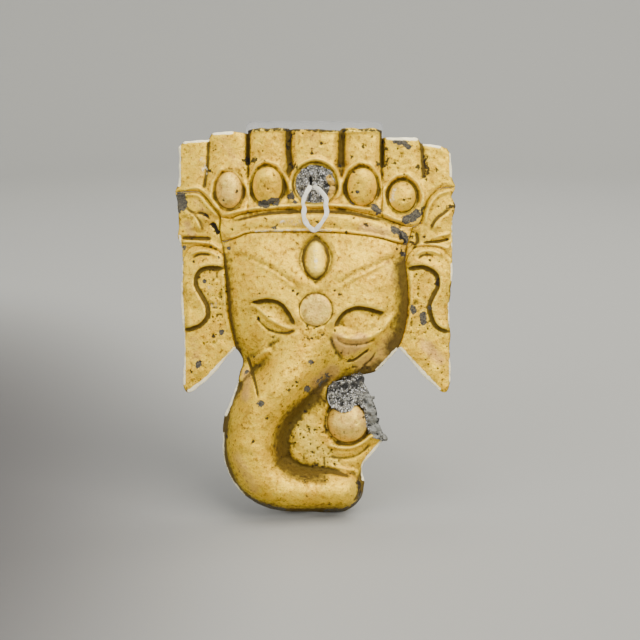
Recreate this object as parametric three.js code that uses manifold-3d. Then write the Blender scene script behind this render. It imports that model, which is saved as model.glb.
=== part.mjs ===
// A gilded metal elephant-head plaque with a five-jewelled crown, hung on two pegs of a clear
// acrylic display stand. The plaque leans back with the stand. Millimetres, +Z up, front to -Y.
//
// The plaque is drawn in its own plane: x to the viewer's right, u up the plaque from the lowest
// point of the trunk, h out of the plane towards the viewer. Each sheet is a relief h(x, u) of
// constant thickness, trimmed to its outline.

import * as THREE from 'three';
import { mergeVertices } from 'three/addons/utils/BufferGeometryUtils.js';
import Module from 'manifold-3d';

const wasm = await Module();
wasm.setup();

// ---------------------------------------------------------------- driving dimensions
const LEAN_DEGREES = 15;            // the plaque and its plate lean back by this much
const SEAM_GAP = 0.3;               // between any two pieces that touch
const SHEET = 1.2;                  // metal of the plaque, measured along h
const RIM_HEIGHT = 1.2;             // front of the sheet at the trunk's edge
const FLANGE_HEIGHT = 3.2;          // front of the sheet where the ears and the face meet
const FOREHEAD_RISE = 6.6;          // forehead above the flange, just under the brow band
const CHEEK_RISE = 5.0;             // further rise at the level of the eyes
const FACE_HALF_WIDTH = 39.6;
const TRUNK_RISE = 19;              // trunk above its rim
const TRUNK_HALF_WIDTH = 13.6;
const TIP_HALF_WIDTH = 10.2;
const TIP_DROP = 0.3;               // share of its rise that the trunk loses towards its tip
const CHIN = { low: 60, high: 76 }; // where the rim climbs to the flange
const CHEEK = { top: 122, full: 96 };
const DOME = { top: 100, drop: 46, roundness: 2.6 };
const FIELD_HEIGHT = 5.0;           // the pitted field inside the trunk's curl
const FIELD = { x: 4, u: 34, across: 26, up: 24 };
const CROWN_HEIGHT = 4.4;
const BAND_RISE = 6.4;
const BAND_HALF_WIDTH = 44;
const EAR_DROP = 1.4;               // the ears curve back towards their outer edge
const EAR_BEND = { from: 51, to: 60 };

const JEWELS = {
  jewel_left_outer: { x: -37.6, u: 138.6, across: 6.3, up: 8.4, rise: 4.6 },
  jewel_left_inner: { x: -21.1, u: 140.3, across: 7.2, up: 8.7, rise: 5.0 },
  jewel_right_inner: { x: 19.6, u: 139.8, across: 7.2, up: 8.7, rise: 5.0 },
  jewel_right_outer: { x: 36.9, u: 135.8, across: 6.5, up: 7.2, rise: 4.6 },
};
const CREST = { x: -0.6, u: 141.0, across: 9.2, up: 8.8, depth: 3.0, rise: 2.2 };
const CREST_SLIT = { x: -2.6, u: 142.6, width: 1.3, length: 5.6, depth: 1.2 };
const THIRD_EYE = { x: -0.3, u: 108.6, across: 6.6, up: 9.6, rise: 3.0 };
const BROW_DISC = { x: -0.2, u: 87.0, radius: 7.0, rise: 1.2 };
const BALL = { x: 13.3, u: 38.8, radius: 9.3, rise: 8.0 };
const MOUTH = { height: 7.4, depth: 4.4, crumple: 0.7 };

const STRAP = { u: 104, width: 6, length: 100, thickness: 0.8, cornerRadius: 1.5 };

const STAND_X = -0.9;               // centre line of the stand, against the plaque's own
const PLATE = {
  gap: 2.3,                         // behind the plaque's rim
  thickness: 3,
  headHalfWidth: 29.7,
  headBottom: 72,
  above: 4.3,                       // of the plate seen over the crown
  cornerRadius: 2.4,
  stemHalfWidth: 15,
  shoulderRadius: 6,
  bendRadius: 5,
};
const CROWN_TOP = 165.1;
const FOOT = { length: 78, halfWidth: 20, cornerRadius: 7 };
const TRUNK_CLEARANCE = 0.6;        // trunk over the table
const PEG = { spacing: 28, width: 6, arm: 3.6, lip: 2.2, lipRise: 2.8, strapPlay: 0.7 };
const TOP_BUMPER = { spacing: 40, u: 156, radius: 4 };
const LOW_BUMPER = { spacing: 16, u: 4.2, radius: 4 };
const TIE = { diameter: 1.7, sides: 8, steps: 28 };
const KNOT = { x: -2.6, u: 141.4, radius: 2.3, thickness: 2.6 };

// ---------------------------------------------------------------- finishes
function finish(color, roughness, metalness) {
  return new THREE.MeshStandardMaterial({ color, roughness, metalness });
}
const GILDING = finish(0xd6bb73, 0.42, 1);
const PINK_GILDING = finish(0xd3b483, 0.5, 1);
const GREY_FILL = finish(0x9a9a92, 0.7, 0.6);
const BRASS_STRAP = finish(0xa98d4e, 0.45, 1);
const RIBBON = finish(0xe9e4d6, 0.9, 0);
const ACRYLIC = finish(0xe8eeee, 0.05, 0);
const SILICONE = finish(0xd8dcdc, 0.5, 0);

// ---------------------------------------------------------------- solids
const CURVE_SEGMENTS = 10;          // straight steps in each curve of an outline
const DEEP = [-40, 60];             // a cut through every relief

function toManifold(geometry) {
  const bare = geometry.clone();
  bare.deleteAttribute('normal');
  bare.deleteAttribute('uv');
  const merged = mergeVertices(bare, 1e-4);
  return new wasm.Manifold(new wasm.Mesh({
    numProp: 3,
    vertProperties: new Float32Array(merged.attributes.position.array),
    triVerts: new Uint32Array(merged.index.array),
  }));
}

function toGeometry(manifold) {
  const mesh = manifold.getMesh();
  const geometry = new THREE.BufferGeometry();
  geometry.setAttribute('position', new THREE.BufferAttribute(mesh.vertProperties, 3));
  geometry.setIndex(new THREE.BufferAttribute(mesh.triVerts, 1));
  geometry.computeVertexNormals();
  return geometry;
}

function namedMesh(name, geometry, material) {
  const mesh = new THREE.Mesh(geometry, material);
  mesh.name = name;
  return mesh;
}

// A straight-sided solid of a shape drawn in x and u, from h = low to h = high.
function prism(shape, low, high) {
  const options = { depth: high - low, bevelEnabled: false, curveSegments: CURVE_SEGMENTS };
  return toManifold(new THREE.ExtrudeGeometry(shape, options).translate(0, 0, low));
}

function points(pairs) {
  return pairs.map(([x, u]) => new THREE.Vector2(x, u));
}

// A smooth line through the points, with about one vertex for each 4 mm of it.
function smooth(pairs) {
  const curve = new THREE.SplineCurve(points(pairs));
  return curve.getPoints(Math.max(3, Math.round(curve.getLength() / 4)));
}

function reversed(line) {
  return [...line].reverse();
}

// One closed outline from lines that meet end to end.
function outline(...lines) {
  const all = lines.flat();
  return new THREE.Shape(all.filter((p, i) => p.distanceTo(all.at(i - 1)) > 1e-3));
}

// A band of the given width along a line, run a little past both of its ends.
function stroke(line, width) {
  const past = 1;
  const first = line[0].clone().sub(line[1]).setLength(past).add(line[0]);
  const last = line.at(-1).clone().sub(line.at(-2)).setLength(past).add(line.at(-1));
  const path = [first, ...line, last];
  const sideways = path.map((p, i) => {
    const along = path[Math.min(i + 1, path.length - 1)].clone().sub(path[Math.max(i - 1, 0)]);
    return new THREE.Vector2(-along.y, along.x).setLength(width / 2);
  });
  const left = path.map((p, i) => p.clone().add(sideways[i]));
  const right = path.map((p, i) => p.clone().sub(sideways[i]));
  return new THREE.Shape([...right, ...left.reverse()]);
}

function ellipse({ x, u, across, up }, grow = 0) {
  return new THREE.Shape().absellipse(x, u, across + grow, up + grow, 0, 2 * Math.PI, false);
}

function almond({ x, u, across, up }, grow = 0) {
  const half = up + 1.5 * grow;
  const bow = 2 * (across + grow);
  const shape = new THREE.Shape();
  shape.moveTo(x, u - half);
  shape.quadraticCurveTo(x + bow, u, x, u + half);
  shape.quadraticCurveTo(x - bow, u, x, u - half);
  return shape;
}

// A slab with its front at height(x, u) and its back parallel to it, trimmed to a shape.
function reliefSheet(shape, height, thickness, step) {
  const box = new THREE.Box2().setFromPoints(shape.getPoints(CURVE_SEGMENTS)).expandByScalar(1);
  const size = box.getSize(new THREE.Vector2());
  const middle = box.getCenter(new THREE.Vector2());
  const columns = Math.ceil(size.x / step);
  const rows = Math.ceil(size.y / step);
  const slab = new THREE.BoxGeometry(size.x, size.y, thickness, columns, rows, 1);
  slab.translate(middle.x, middle.y, -thickness / 2);
  const position = slab.attributes.position;
  for (let i = 0; i < position.count; i += 1) {
    position.setZ(i, position.getZ(i) + height(position.getX(i), position.getY(i)));
  }
  return toManifold(slab).intersect(prism(shape, ...DEEP));
}

// ---------------------------------------------------------------- relief
function clamp01(value) {
  return Math.min(1, Math.max(0, value));
}

function ease(from, to, value) {
  const t = clamp01((value - from) / (to - from));
  return t * t * (3 - 2 * t);
}

// A hump: 1 in the middle, 0 at and beyond r = 1, with a flatter top at a higher power.
function hump(r, power = 2) {
  return Math.max(0, 1 - Math.pow(Math.abs(r), power));
}

const TRUNK_SPINE = smooth([[0, 88], [-5, 72], [-13, 57], [-23, 44], [-27, 30], [-24, 17],
  [-13, 10.5], [2, 9.8], [10.5, 9.8]]);

function trunkHeight(x, u) {
  const here = new THREE.Vector2(x, u);
  let nearest = Infinity;
  let along = 0;
  TRUNK_SPINE.forEach((p, i) => {
    const distance = p.distanceTo(here);
    if (distance < nearest) {
      nearest = distance;
      along = i / (TRUNK_SPINE.length - 1);
    }
  });
  const half = TRUNK_HALF_WIDTH + (TIP_HALF_WIDTH - TRUNK_HALF_WIDTH) * ease(0.55, 0.95, along);
  const rise = TRUNK_RISE * (1 - TIP_DROP * ease(0.6, 1, along));
  return RIM_HEIGHT + rise * hump(nearest / half, 2.4);
}

function faceHeight(x, u) {
  const rim = RIM_HEIGHT + (FLANGE_HEIGHT - RIM_HEIGHT) * ease(CHIN.low, CHIN.high, u);
  const below = Math.max(0, DOME.top - u) / DOME.drop;
  const aside = Math.abs(x) / FACE_HALF_WIDTH;
  const power = DOME.roundness;
  const r = Math.pow(Math.pow(aside, power) + Math.pow(below, power), 1 / power);
  const dome = (FOREHEAD_RISE + CHEEK_RISE * ease(CHEEK.top, CHEEK.full, u)) * hump(r, 4);
  const inCurl = FIELD_HEIGHT
    * hump(Math.hypot((x - FIELD.x) / FIELD.across, (u - FIELD.u) / FIELD.up), 4);
  return Math.max(rim + dome, trunkHeight(x, u), RIM_HEIGHT + inCurl);
}

function bandHeight(x) {
  return FLANGE_HEIGHT + BAND_RISE * hump(x / BAND_HALF_WIDTH);
}

function earHeight(x) {
  return FLANGE_HEIGHT - EAR_DROP * ease(EAR_BEND.from, EAR_BEND.to, Math.abs(x));
}

function crownHeight(x) {
  return CROWN_HEIGHT - EAR_DROP * ease(EAR_BEND.from, EAR_BEND.to, Math.abs(x));
}

// ---------------------------------------------------------------- seams between the sheets
const seams = {
  leftTemple: points([[-40.6, 116.4], [-39.9, 110]]),
  leftFace: smooth([[-39.9, 110], [-39.5, 105], [-38.3, 95], [-37.5, 85], [-36, 77],
    [-34.8, 70.4]]),
  rightTemple: points([[38.9, 115], [38.2, 108]]),
  rightFace: smooth([[38.2, 108], [38.9, 100], [39.4, 92], [38.6, 82], [37, 75],
    [35.3, 70.8]]),
  bandLower: smooth([[-40.6, 116.4], [-34, 117.9], [-28, 119.7], [-10, 120.1], [8, 119.8],
    [25, 117.8], [33, 115.8], [38.9, 115]]),
  bandUpperLeft: smooth([[-41, 126.8], [-37, 126.2], [-33, 127.6], [-29.6, 128.4]]),
  bandUpper: smooth([[-29.6, 128.4], [-20, 129.5], [-5, 130.1], [5, 130.1], [14, 129.6],
    [28.2, 126.4]]),
  bandUpperRight: smooth([[28.2, 126.4], [36.5, 123.2], [41.2, 122.6]]),
  bandLeft: smooth([[-41, 126.8], [-41.3, 121], [-40.6, 116.4]]),
  bandRight: smooth([[41.2, 122.6], [39.8, 118], [38.9, 115]]),
  crownLeft: points([[-29.6, 166], [-29.6, 128.4]]),
  crownRight: points([[28.2, 166], [28.2, 126.4]]),
  leftRibbonTop: smooth([[-61, 137.9], [-53, 138], [-49.6, 137.2], [-45.6, 132.8],
    [-42.3, 129.2], [-41, 126.8]]),
  rightRibbonTop: smooth([[60, 140.2], [56, 139.9], [51.8, 138.8], [48, 134.6], [46, 129.5],
    [44.6, 124.6], [41.2, 122.6]]),
  leftEarTop: smooth([[-58, 108.8], [-55.8, 112.8], [-53, 114.6], [-48, 114.4], [-42.5, 112.6],
    [-39.9, 110]]),
  rightEarTop: smooth([[58.8, 108.8], [56.4, 111.4], [54, 113.6], [50, 114.5], [44, 114.4],
    [40.4, 111.8], [38.2, 108]]),
  mouth: smooth([[19.6, 59.2], [14, 57.4], [8, 56], [5, 53], [5, 47.5], [8, 44], [15, 40],
    [22.5, 36.5], [25, 34], [28.4, 30.4]]),
};

const seamCutters = Object.values(seams).map((line) => prism(stroke(line, SEAM_GAP), ...DEEP));

function cutFree(solid, holes = []) {
  const cutters = [...seamCutters, ...holes.map((shape) => prism(shape, ...DEEP))];
  return cutters.reduce((left, cutter) => left.subtract(cutter), solid);
}

// ---------------------------------------------------------------- outer edges of the plaque
const trunkEdge = smooth([[28.4, 30.4], [24, 25.4], [20.2, 20.6], [19.8, 17], [20.6, 12.5],
  [19.8, 7.6], [17, 3.4], [11, 0], [0, 0], [-15, 0.8], [-24, 3.4], [-33, 9.6], [-38.4, 18],
  [-40.5, 29], [-39.8, 40], [-37, 47.5], [-34, 56], [-32, 66], [-34.8, 70.4]]);
const cheekEdge = smooth([[35.3, 70.8], [31, 65.8], [26, 61], [19.6, 59.2]]);
const mouthEdge = smooth([[28.4, 30.4], [28, 35], [26, 40], [26, 43], [23.6, 49.6],
  [20.6, 55.4], [19.6, 59.2]]);
const leftEarEdge = smooth([[-34.8, 70.4], [-44, 60.4], [-49, 55.4], [-55, 51.4], [-57.4, 54],
  [-57.6, 61], [-57, 73], [-57.8, 80], [-58.6, 94], [-58.2, 104], [-58, 108.8]]);
const rightEarEdge = smooth([[58.8, 108.8], [58.9, 101], [57, 88], [58, 79], [57.5, 69],
  [58, 60], [57, 52.6], [53, 52.2], [45, 60], [35.3, 70.8]]);
const leftRibbonEdge = points([[-58, 108.8], [-58.2, 113.6], [-59.8, 119], [-59.6, 129],
  [-61, 137.9]]);
const rightRibbonEdge = points([[60, 140.2], [58.6, 136], [60.2, 132], [58.6, 127],
  [58.9, 118], [58.8, 108.8]]);
const crownLeftEdge = points([[-61, 137.9], [-59.5, 142], [-59.5, 157], [-57, 159.8],
  [-46.6, 160.4], [-45, 163.2], [-36, 163.6], [-29.6, 163.2]]);
const crownCentreEdge = points([[-29.6, 164.6], [-12, CROWN_TOP], [-11.4, 164.4], [10, 164.2],
  [11, CROWN_TOP], [28.2, 164.6]]);
const crownRightEdge = points([[28.2, 161.2], [36, 161.2], [43.2, 160.8], [45, 158.8],
  [56.4, 157], [58.2, 154.6], [58.4, 144], [60, 140.2]]);

// ---------------------------------------------------------------- the plaque's pieces
const plaque = new THREE.Group();

function addSheet(name, shape, height, { step = 4, thickness = SHEET, holes = [] } = {},
  material = GILDING) {
  const solid = cutFree(reliefSheet(shape, height, thickness, step), holes);
  plaque.add(namedMesh(name, toGeometry(solid), material));
}

// An inset piece keeps clear of the hole it sits in, and isn't cut by the seams it covers.
function addInset(name, shape, height, { step = 3, thickness = SHEET } = {}, material = GILDING) {
  const solid = reliefSheet(shape, height, thickness, step);
  plaque.add(namedMesh(name, toGeometry(solid), material));
}

const ballShape = ellipse({ x: BALL.x, u: BALL.u, across: BALL.radius, up: BALL.radius });
const ballHole = ellipse({ x: BALL.x, u: BALL.u, across: BALL.radius, up: BALL.radius }, SEAM_GAP);
const discShape = ellipse({ ...BROW_DISC, across: BROW_DISC.radius, up: BROW_DISC.radius });
const discHole = ellipse({ ...BROW_DISC, across: BROW_DISC.radius, up: BROW_DISC.radius },
  SEAM_GAP);

addSheet('face_trunk_sheet',
  outline(seams.bandLower, seams.rightTemple, seams.rightFace, cheekEdge, seams.mouth,
    trunkEdge, reversed(seams.leftFace), reversed(seams.leftTemple)),
  faceHeight, { step: 4, holes: [almond(THIRD_EYE, SEAM_GAP), discHole, ballHole] });

addSheet('brow_band',
  outline(seams.bandUpperLeft, seams.bandUpper, seams.bandUpperRight, seams.bandRight,
    reversed(seams.bandLower), reversed(seams.bandLeft)),
  bandHeight);

const crownHoles = Object.values(JEWELS).map((jewel) => ellipse(jewel, SEAM_GAP));
crownHoles.push(ellipse(CREST, SEAM_GAP));

addSheet('crown_centre_sheet',
  outline(crownCentreEdge, reversed(seams.bandUpper)),
  crownHeight, { step: 9, holes: crownHoles });

addSheet('crown_left_sheet',
  outline(crownLeftEdge, reversed(seams.bandUpperLeft), reversed(seams.leftRibbonTop)),
  crownHeight, { step: 9, holes: crownHoles });

addSheet('crown_right_sheet',
  outline(crownRightEdge, seams.rightRibbonTop, reversed(seams.bandUpperRight)),
  crownHeight, { step: 9, holes: crownHoles });

addSheet('left_ribbon',
  outline(leftRibbonEdge, seams.leftRibbonTop, seams.bandLeft, seams.leftTemple,
    reversed(seams.leftEarTop)),
  earHeight, { step: 8 });

addSheet('right_ribbon',
  outline(rightRibbonEdge, seams.rightEarTop, reversed(seams.rightTemple),
    reversed(seams.bandRight), reversed(seams.rightRibbonTop)),
  earHeight, { step: 8 });

addSheet('left_ear',
  outline(leftEarEdge, seams.leftEarTop, seams.leftFace),
  earHeight, { step: 8 });

addSheet('right_ear',
  outline(rightEarEdge, reversed(seams.rightFace), reversed(seams.rightEarTop)),
  earHeight, { step: 8 });

addSheet('mouth_fill', outline(mouthEdge, seams.mouth),
  (x, u) => MOUTH.height + MOUTH.crumple * Math.sin(x) * Math.cos(u),
  { step: 3, thickness: MOUTH.depth, holes: [ballHole] }, GREY_FILL);

for (const [name, jewel] of Object.entries(JEWELS)) {
  const dome = (x, u) => CROWN_HEIGHT
    + jewel.rise * hump(Math.hypot((x - jewel.x) / jewel.across, (u - jewel.u) / jewel.up));
  addInset(name, ellipse(jewel), dome, {}, name === 'jewel_left_outer' ? PINK_GILDING : GILDING);
}

addInset('third_eye_boss', almond(THIRD_EYE),
  (x, u) => faceHeight(x, u) + THIRD_EYE.rise
    * hump(Math.abs(x - THIRD_EYE.x) / THIRD_EYE.across + Math.abs(u - THIRD_EYE.u) / THIRD_EYE.up));

addInset('brow_disc', discShape,
  (x, u) => faceHeight(x, u) + BROW_DISC.rise
    * hump(Math.hypot(x - BROW_DISC.x, u - BROW_DISC.u) / BROW_DISC.radius), {}, PINK_GILDING);

addInset('sweet_ball', ballShape,
  (x, u) => FIELD_HEIGHT + BALL.rise * hump(Math.hypot(x - BALL.x, u - BALL.u) / BALL.radius),
  {}, PINK_GILDING);

// The grey bedding of the lost middle jewel, with the slit that the tie comes out of.
const crestDome = reliefSheet(ellipse(CREST), (x, u) => CROWN_HEIGHT + CREST.rise
  * hump(Math.hypot((x - CREST.x) / CREST.across, (u - CREST.u) / CREST.up)), CREST.depth, 3.4);
const slitTop = CROWN_HEIGHT + CREST.rise;
const slitShape = ellipse({ ...CREST_SLIT, across: CREST_SLIT.width / 2,
  up: CREST_SLIT.length / 2 });
plaque.add(namedMesh('crest_fill',
  toGeometry(crestDome.subtract(prism(slitShape, slitTop - CREST_SLIT.depth, slitTop + 5))),
  GREY_FILL));

// ---------------------------------------------------------------- the tie in the crest
// Its two ends start just above the slit's rim; the rest is given above the band's front.
const bandFront = FLANGE_HEIGHT + BAND_RISE;
const tieEnd = slitTop + 0.15;
const tiePoints = [[-3.2, 139.6, tieEnd], [-3.5, 139.3, tieEnd + 1.55],
  ...[[-4.5, 137, 0.6], [-5.4, 133.2, 1.6], [-5.5, 129.4, 2.3], [-5.1, 125.8, 2.7],
    [-3.9, 122.8, 2.9], [-2, 121.3, 2.9], [0.2, 121.9, 2.9], [2.1, 124.2, 2.7],
    [3.7, 127.6, 2.3], [4.4, 131.4, 1.6], [3.6, 135.2, 0.8], [1.4, 138.2, 0]]
    .map(([x, u, above]) => [x, u, bandFront + above]),
  [-0.4, 139.5, tieEnd + 1.55], [-0.8, 139.9, tieEnd]];
const tiePath = new THREE.CatmullRomCurve3(tiePoints.map((p) => new THREE.Vector3(...p)));
const tieSection = new THREE.Shape();
for (let i = 0; i < TIE.sides; i += 1) {
  const angle = (i * 2 * Math.PI) / TIE.sides;
  const [across, up] = [Math.cos(angle), Math.sin(angle)].map((v) => (v * TIE.diameter) / 2);
  if (i === 0) tieSection.moveTo(across, up);
  else tieSection.lineTo(across, up);
}
plaque.add(namedMesh('tie_loop',
  new THREE.ExtrudeGeometry(tieSection, { steps: TIE.steps, extrudePath: tiePath }), RIBBON));

const crestBack = CROWN_HEIGHT - CREST.depth;
const knot = new THREE.SphereGeometry(KNOT.radius, 12, 8)
  .scale(1, 1, KNOT.thickness / 2 / KNOT.radius)
  .translate(KNOT.x, KNOT.u, crestBack - SEAM_GAP - KNOT.thickness / 2);
plaque.add(namedMesh('tie_knot', knot, RIBBON));

// ---------------------------------------------------------------- hanging strap
function roundedRectangle(centreX, centreU, width, height, radius) {
  const [left, right] = [centreX - width / 2, centreX + width / 2];
  const [bottom, top] = [centreU - height / 2, centreU + height / 2];
  const shape = new THREE.Shape();
  shape.moveTo(left + radius, bottom);
  shape.lineTo(right - radius, bottom);
  shape.absarc(right - radius, bottom + radius, radius, -Math.PI / 2, 0, false);
  shape.absarc(right - radius, top - radius, radius, 0, Math.PI / 2, false);
  shape.absarc(left + radius, top - radius, radius, Math.PI / 2, Math.PI, false);
  shape.absarc(left + radius, bottom + radius, radius, Math.PI, 1.5 * Math.PI, false);
  return shape;
}

const strapFront = FLANGE_HEIGHT - SHEET - SEAM_GAP;
const strapShape = roundedRectangle(0, STRAP.u, STRAP.length, STRAP.width, STRAP.cornerRadius);
const strap = prism(strapShape, strapFront - STRAP.thickness, strapFront);
plaque.add(namedMesh('hanger_strap', toGeometry(strap), BRASS_STRAP));

// ---------------------------------------------------------------- the stand
const stand = new THREE.Group();
const lean = THREE.MathUtils.degToRad(LEAN_DEGREES);
const backTilt = Math.PI / 2 - lean;
const [sinLean, cosLean] = [Math.sin(lean), Math.cos(lean)];

// The place of a point of the plaque's plane in the side view: y back, z up.
function sideView(u, h) {
  return new THREE.Vector2(u * sinLean - h * cosLean, TRUNK_CLEARANCE + u * cosLean + h * sinLean);
}

const plateFront = -PLATE.gap;
const plateTop = CROWN_TOP + PLATE.above;
const topFront = sideView(plateTop, plateFront);
const topBack = sideView(plateTop, plateFront - PLATE.thickness);
const innerRadius = PLATE.bendRadius - PLATE.thickness;
const corner = topFront.x - (topFront.y * sinLean) / cosLean;
const bendY = corner + PLATE.bendRadius * Math.tan((Math.PI / 2 + lean) / 2);
const footBack = bendY + FOOT.length;

// Side view of the bent strip: down the front of the plate, round the bend and along the foot.
const strip = new THREE.Shape();
strip.moveTo(topFront.x, topFront.y);
strip.absarc(bendY, PLATE.bendRadius, PLATE.bendRadius, Math.PI - lean, 1.5 * Math.PI, false);
strip.lineTo(footBack, 0);
strip.lineTo(footBack, PLATE.thickness);
strip.absarc(bendY, PLATE.bendRadius, innerRadius, 1.5 * Math.PI, Math.PI - lean, true);
strip.lineTo(topBack.x, topBack.y);

const sideToWorld = new THREE.Matrix4().makeBasis(new THREE.Vector3(0, 1, 0),
  new THREE.Vector3(0, 0, 1), new THREE.Vector3(1, 0, 0));
const fullWidth = 2 * Math.max(PLATE.headHalfWidth, FOOT.halfWidth) + 2;
const stripSolid = toManifold(new THREE.ExtrudeGeometry(strip,
  { depth: fullWidth, bevelEnabled: false, curveSegments: 12 })
  .translate(0, 0, -fullWidth / 2).applyMatrix4(sideToWorld));

// Front view of the plate: a wide head behind the crown on a narrow stem behind the trunk.
const front = new THREE.Shape();
const { headHalfWidth: wide, stemHalfWidth: narrow, shoulderRadius, cornerRadius } = PLATE;
front.moveTo(narrow, -30);
front.lineTo(narrow, PLATE.headBottom - shoulderRadius);
front.absarc(narrow + shoulderRadius, PLATE.headBottom - shoulderRadius, shoulderRadius,
  Math.PI, Math.PI / 2, true);
front.absarc(wide - shoulderRadius, PLATE.headBottom + shoulderRadius, shoulderRadius,
  -Math.PI / 2, 0, false);
front.absarc(wide - cornerRadius, plateTop - cornerRadius, cornerRadius, 0, Math.PI / 2, false);
front.absarc(-wide + cornerRadius, plateTop - cornerRadius, cornerRadius,
  Math.PI / 2, Math.PI, false);
front.absarc(-wide + shoulderRadius, PLATE.headBottom + shoulderRadius, shoulderRadius,
  Math.PI, 1.5 * Math.PI, false);
front.absarc(-narrow - shoulderRadius, PLATE.headBottom - shoulderRadius, shoulderRadius,
  Math.PI / 2, 0, true);
front.lineTo(-narrow, -30);
const frontPrism = toManifold(new THREE.ExtrudeGeometry(front,
  { depth: 20, bevelEnabled: false, curveSegments: 8 })
  .translate(0, 0, plateFront - 19).rotateX(backTilt).translate(0, 0, TRUNK_CLEARANCE));

// Top view of the foot: it flares from the stem to its rounded back corners.
const foot = new THREE.Shape();
foot.moveTo(-narrow, bendY);
foot.lineTo(narrow, bendY);
foot.lineTo(FOOT.halfWidth, footBack - FOOT.cornerRadius);
foot.absarc(FOOT.halfWidth - FOOT.cornerRadius, footBack - FOOT.cornerRadius, FOOT.cornerRadius,
  0, Math.PI / 2, false);
foot.absarc(-FOOT.halfWidth + FOOT.cornerRadius, footBack - FOOT.cornerRadius, FOOT.cornerRadius,
  Math.PI / 2, Math.PI, false);
const footPrism = prism(foot, -1, PLATE.thickness + 1);
const standSolid = stripSolid.intersect(frontPrism.add(footPrism));
stand.add(namedMesh('display_stand', toGeometry(standSolid), ACRYLIC));

// What is fixed to the plate's front is drawn in the plaque's plane, like the plaque.
const plateFittings = new THREE.Group();
const strapBottom = STRAP.u - STRAP.width / 2;
const pegTop = strapBottom - SEAM_GAP;
const pegBack = plateFront + SEAM_GAP;
const lipBack = strapFront + PEG.strapPlay;
const pegSide = new THREE.Shape(points([[pegBack, pegTop - PEG.arm],
  [lipBack + PEG.lip, pegTop - PEG.arm], [lipBack + PEG.lip, pegTop + PEG.lipRise],
  [lipBack, pegTop + PEG.lipRise], [lipBack, pegTop], [pegBack, pegTop]]));
const pegToPlane = new THREE.Matrix4().makeBasis(new THREE.Vector3(0, 0, 1),
  new THREE.Vector3(0, 1, 0), new THREE.Vector3(-1, 0, 0));

function bumper(name, x, u, radius, tip) {
  const height = tip - pegBack;
  const geometry = new THREE.CylinderGeometry(radius, radius, height, 16)
    .rotateX(Math.PI / 2).translate(x, u, pegBack + height / 2);
  plateFittings.add(namedMesh(name, geometry, SILICONE));
}

for (const [side, sign] of [['left', -1], ['right', 1]]) {
  const peg = new THREE.ExtrudeGeometry(pegSide, { depth: PEG.width, bevelEnabled: false })
    .applyMatrix4(pegToPlane).translate((sign * PEG.spacing + PEG.width) / 2, 0, 0);
  plateFittings.add(namedMesh(`${side}_peg`, peg, ACRYLIC));
  bumper(`${side}_top_bumper`, (sign * TOP_BUMPER.spacing) / 2, TOP_BUMPER.u, TOP_BUMPER.radius,
    CROWN_HEIGHT - SHEET - SEAM_GAP);
  bumper(`${side}_low_bumper`, (sign * LOW_BUMPER.spacing) / 2, LOW_BUMPER.u, LOW_BUMPER.radius,
    -SEAM_GAP);
}

// ---------------------------------------------------------------- the whole object
// The origin is on the table, under the middle of the foot.
const footMiddle = (bendY + footBack) / 2;
for (const leaning of [plaque, plateFittings]) {
  leaning.rotation.x = backTilt;
  leaning.position.z = TRUNK_CLEARANCE;
}
plaque.position.x = -STAND_X;
stand.add(plateFittings);

const idol = new THREE.Group();
idol.position.y = -footMiddle;
idol.add(plaque, stand);

export default idol;
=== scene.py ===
"""A gilded metal elephant-head plaque with a five-jewelled crown, on a clear acrylic stand."""

import logging
import math
from dataclasses import dataclass, field
from enum import Enum
from functools import cached_property
from typing import Any, Callable

import bmesh
import bpy
import numpy as np
from mathutils import Matrix, Vector


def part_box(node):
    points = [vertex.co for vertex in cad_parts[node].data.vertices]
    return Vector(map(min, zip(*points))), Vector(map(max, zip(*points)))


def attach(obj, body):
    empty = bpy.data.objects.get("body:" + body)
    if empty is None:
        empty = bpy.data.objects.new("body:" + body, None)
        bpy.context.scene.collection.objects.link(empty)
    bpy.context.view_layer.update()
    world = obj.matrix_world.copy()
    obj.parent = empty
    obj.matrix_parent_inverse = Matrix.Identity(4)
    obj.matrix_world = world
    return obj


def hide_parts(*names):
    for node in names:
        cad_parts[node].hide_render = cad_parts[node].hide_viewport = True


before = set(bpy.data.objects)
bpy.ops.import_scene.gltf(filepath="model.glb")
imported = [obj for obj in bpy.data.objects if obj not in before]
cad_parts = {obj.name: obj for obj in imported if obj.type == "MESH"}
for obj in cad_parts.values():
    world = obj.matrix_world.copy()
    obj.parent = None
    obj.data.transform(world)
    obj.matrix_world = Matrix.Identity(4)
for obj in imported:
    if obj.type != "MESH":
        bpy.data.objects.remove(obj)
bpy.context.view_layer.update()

MM = 0.001
PLAQUE = "plaque"
STAND = "stand"
LOG = logging.getLogger("idol")

Points = tuple[tuple[float, float], ...]
Heights = Callable[[np.ndarray, np.ndarray], np.ndarray]


# ---------------------------------------------------------------- the plaque's own plane
@dataclass(frozen=True)
class LeaningPlane:
    """The plaque's plane: x to the right, u up it, h out of it, in millimetres.

    It leans back with the stand. The hanging strap lies in it, 104 mm up and 1.3 mm out.
    """

    lean: float = math.radians(15)
    strap_up: float = 104.0
    strap_out: float = 1.3

    @property
    def up(self) -> Vector:
        """The direction of u."""
        return Vector((0, math.sin(self.lean), math.cos(self.lean)))

    @property
    def out(self) -> Vector:
        """The direction of h."""
        return Vector((0, -math.cos(self.lean), math.sin(self.lean)))

    def to_world(self) -> Matrix:
        """The matrix from plane millimetres to metres in the frame.

        Returns:
            A matrix whose columns are x, u and h, with its origin at the plaque's own.
        """
        low, high = (Vector(corner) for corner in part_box("hanger_strap"))
        strap = (low + high) / 2
        origin = strap - self.up * self.strap_up * MM - self.out * self.strap_out * MM
        axes = Matrix((Vector((1, 0, 0)), self.up, self.out)).transposed().to_4x4()
        return Matrix.Translation(origin) @ axes @ Matrix.Scale(MM, 4)


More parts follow.
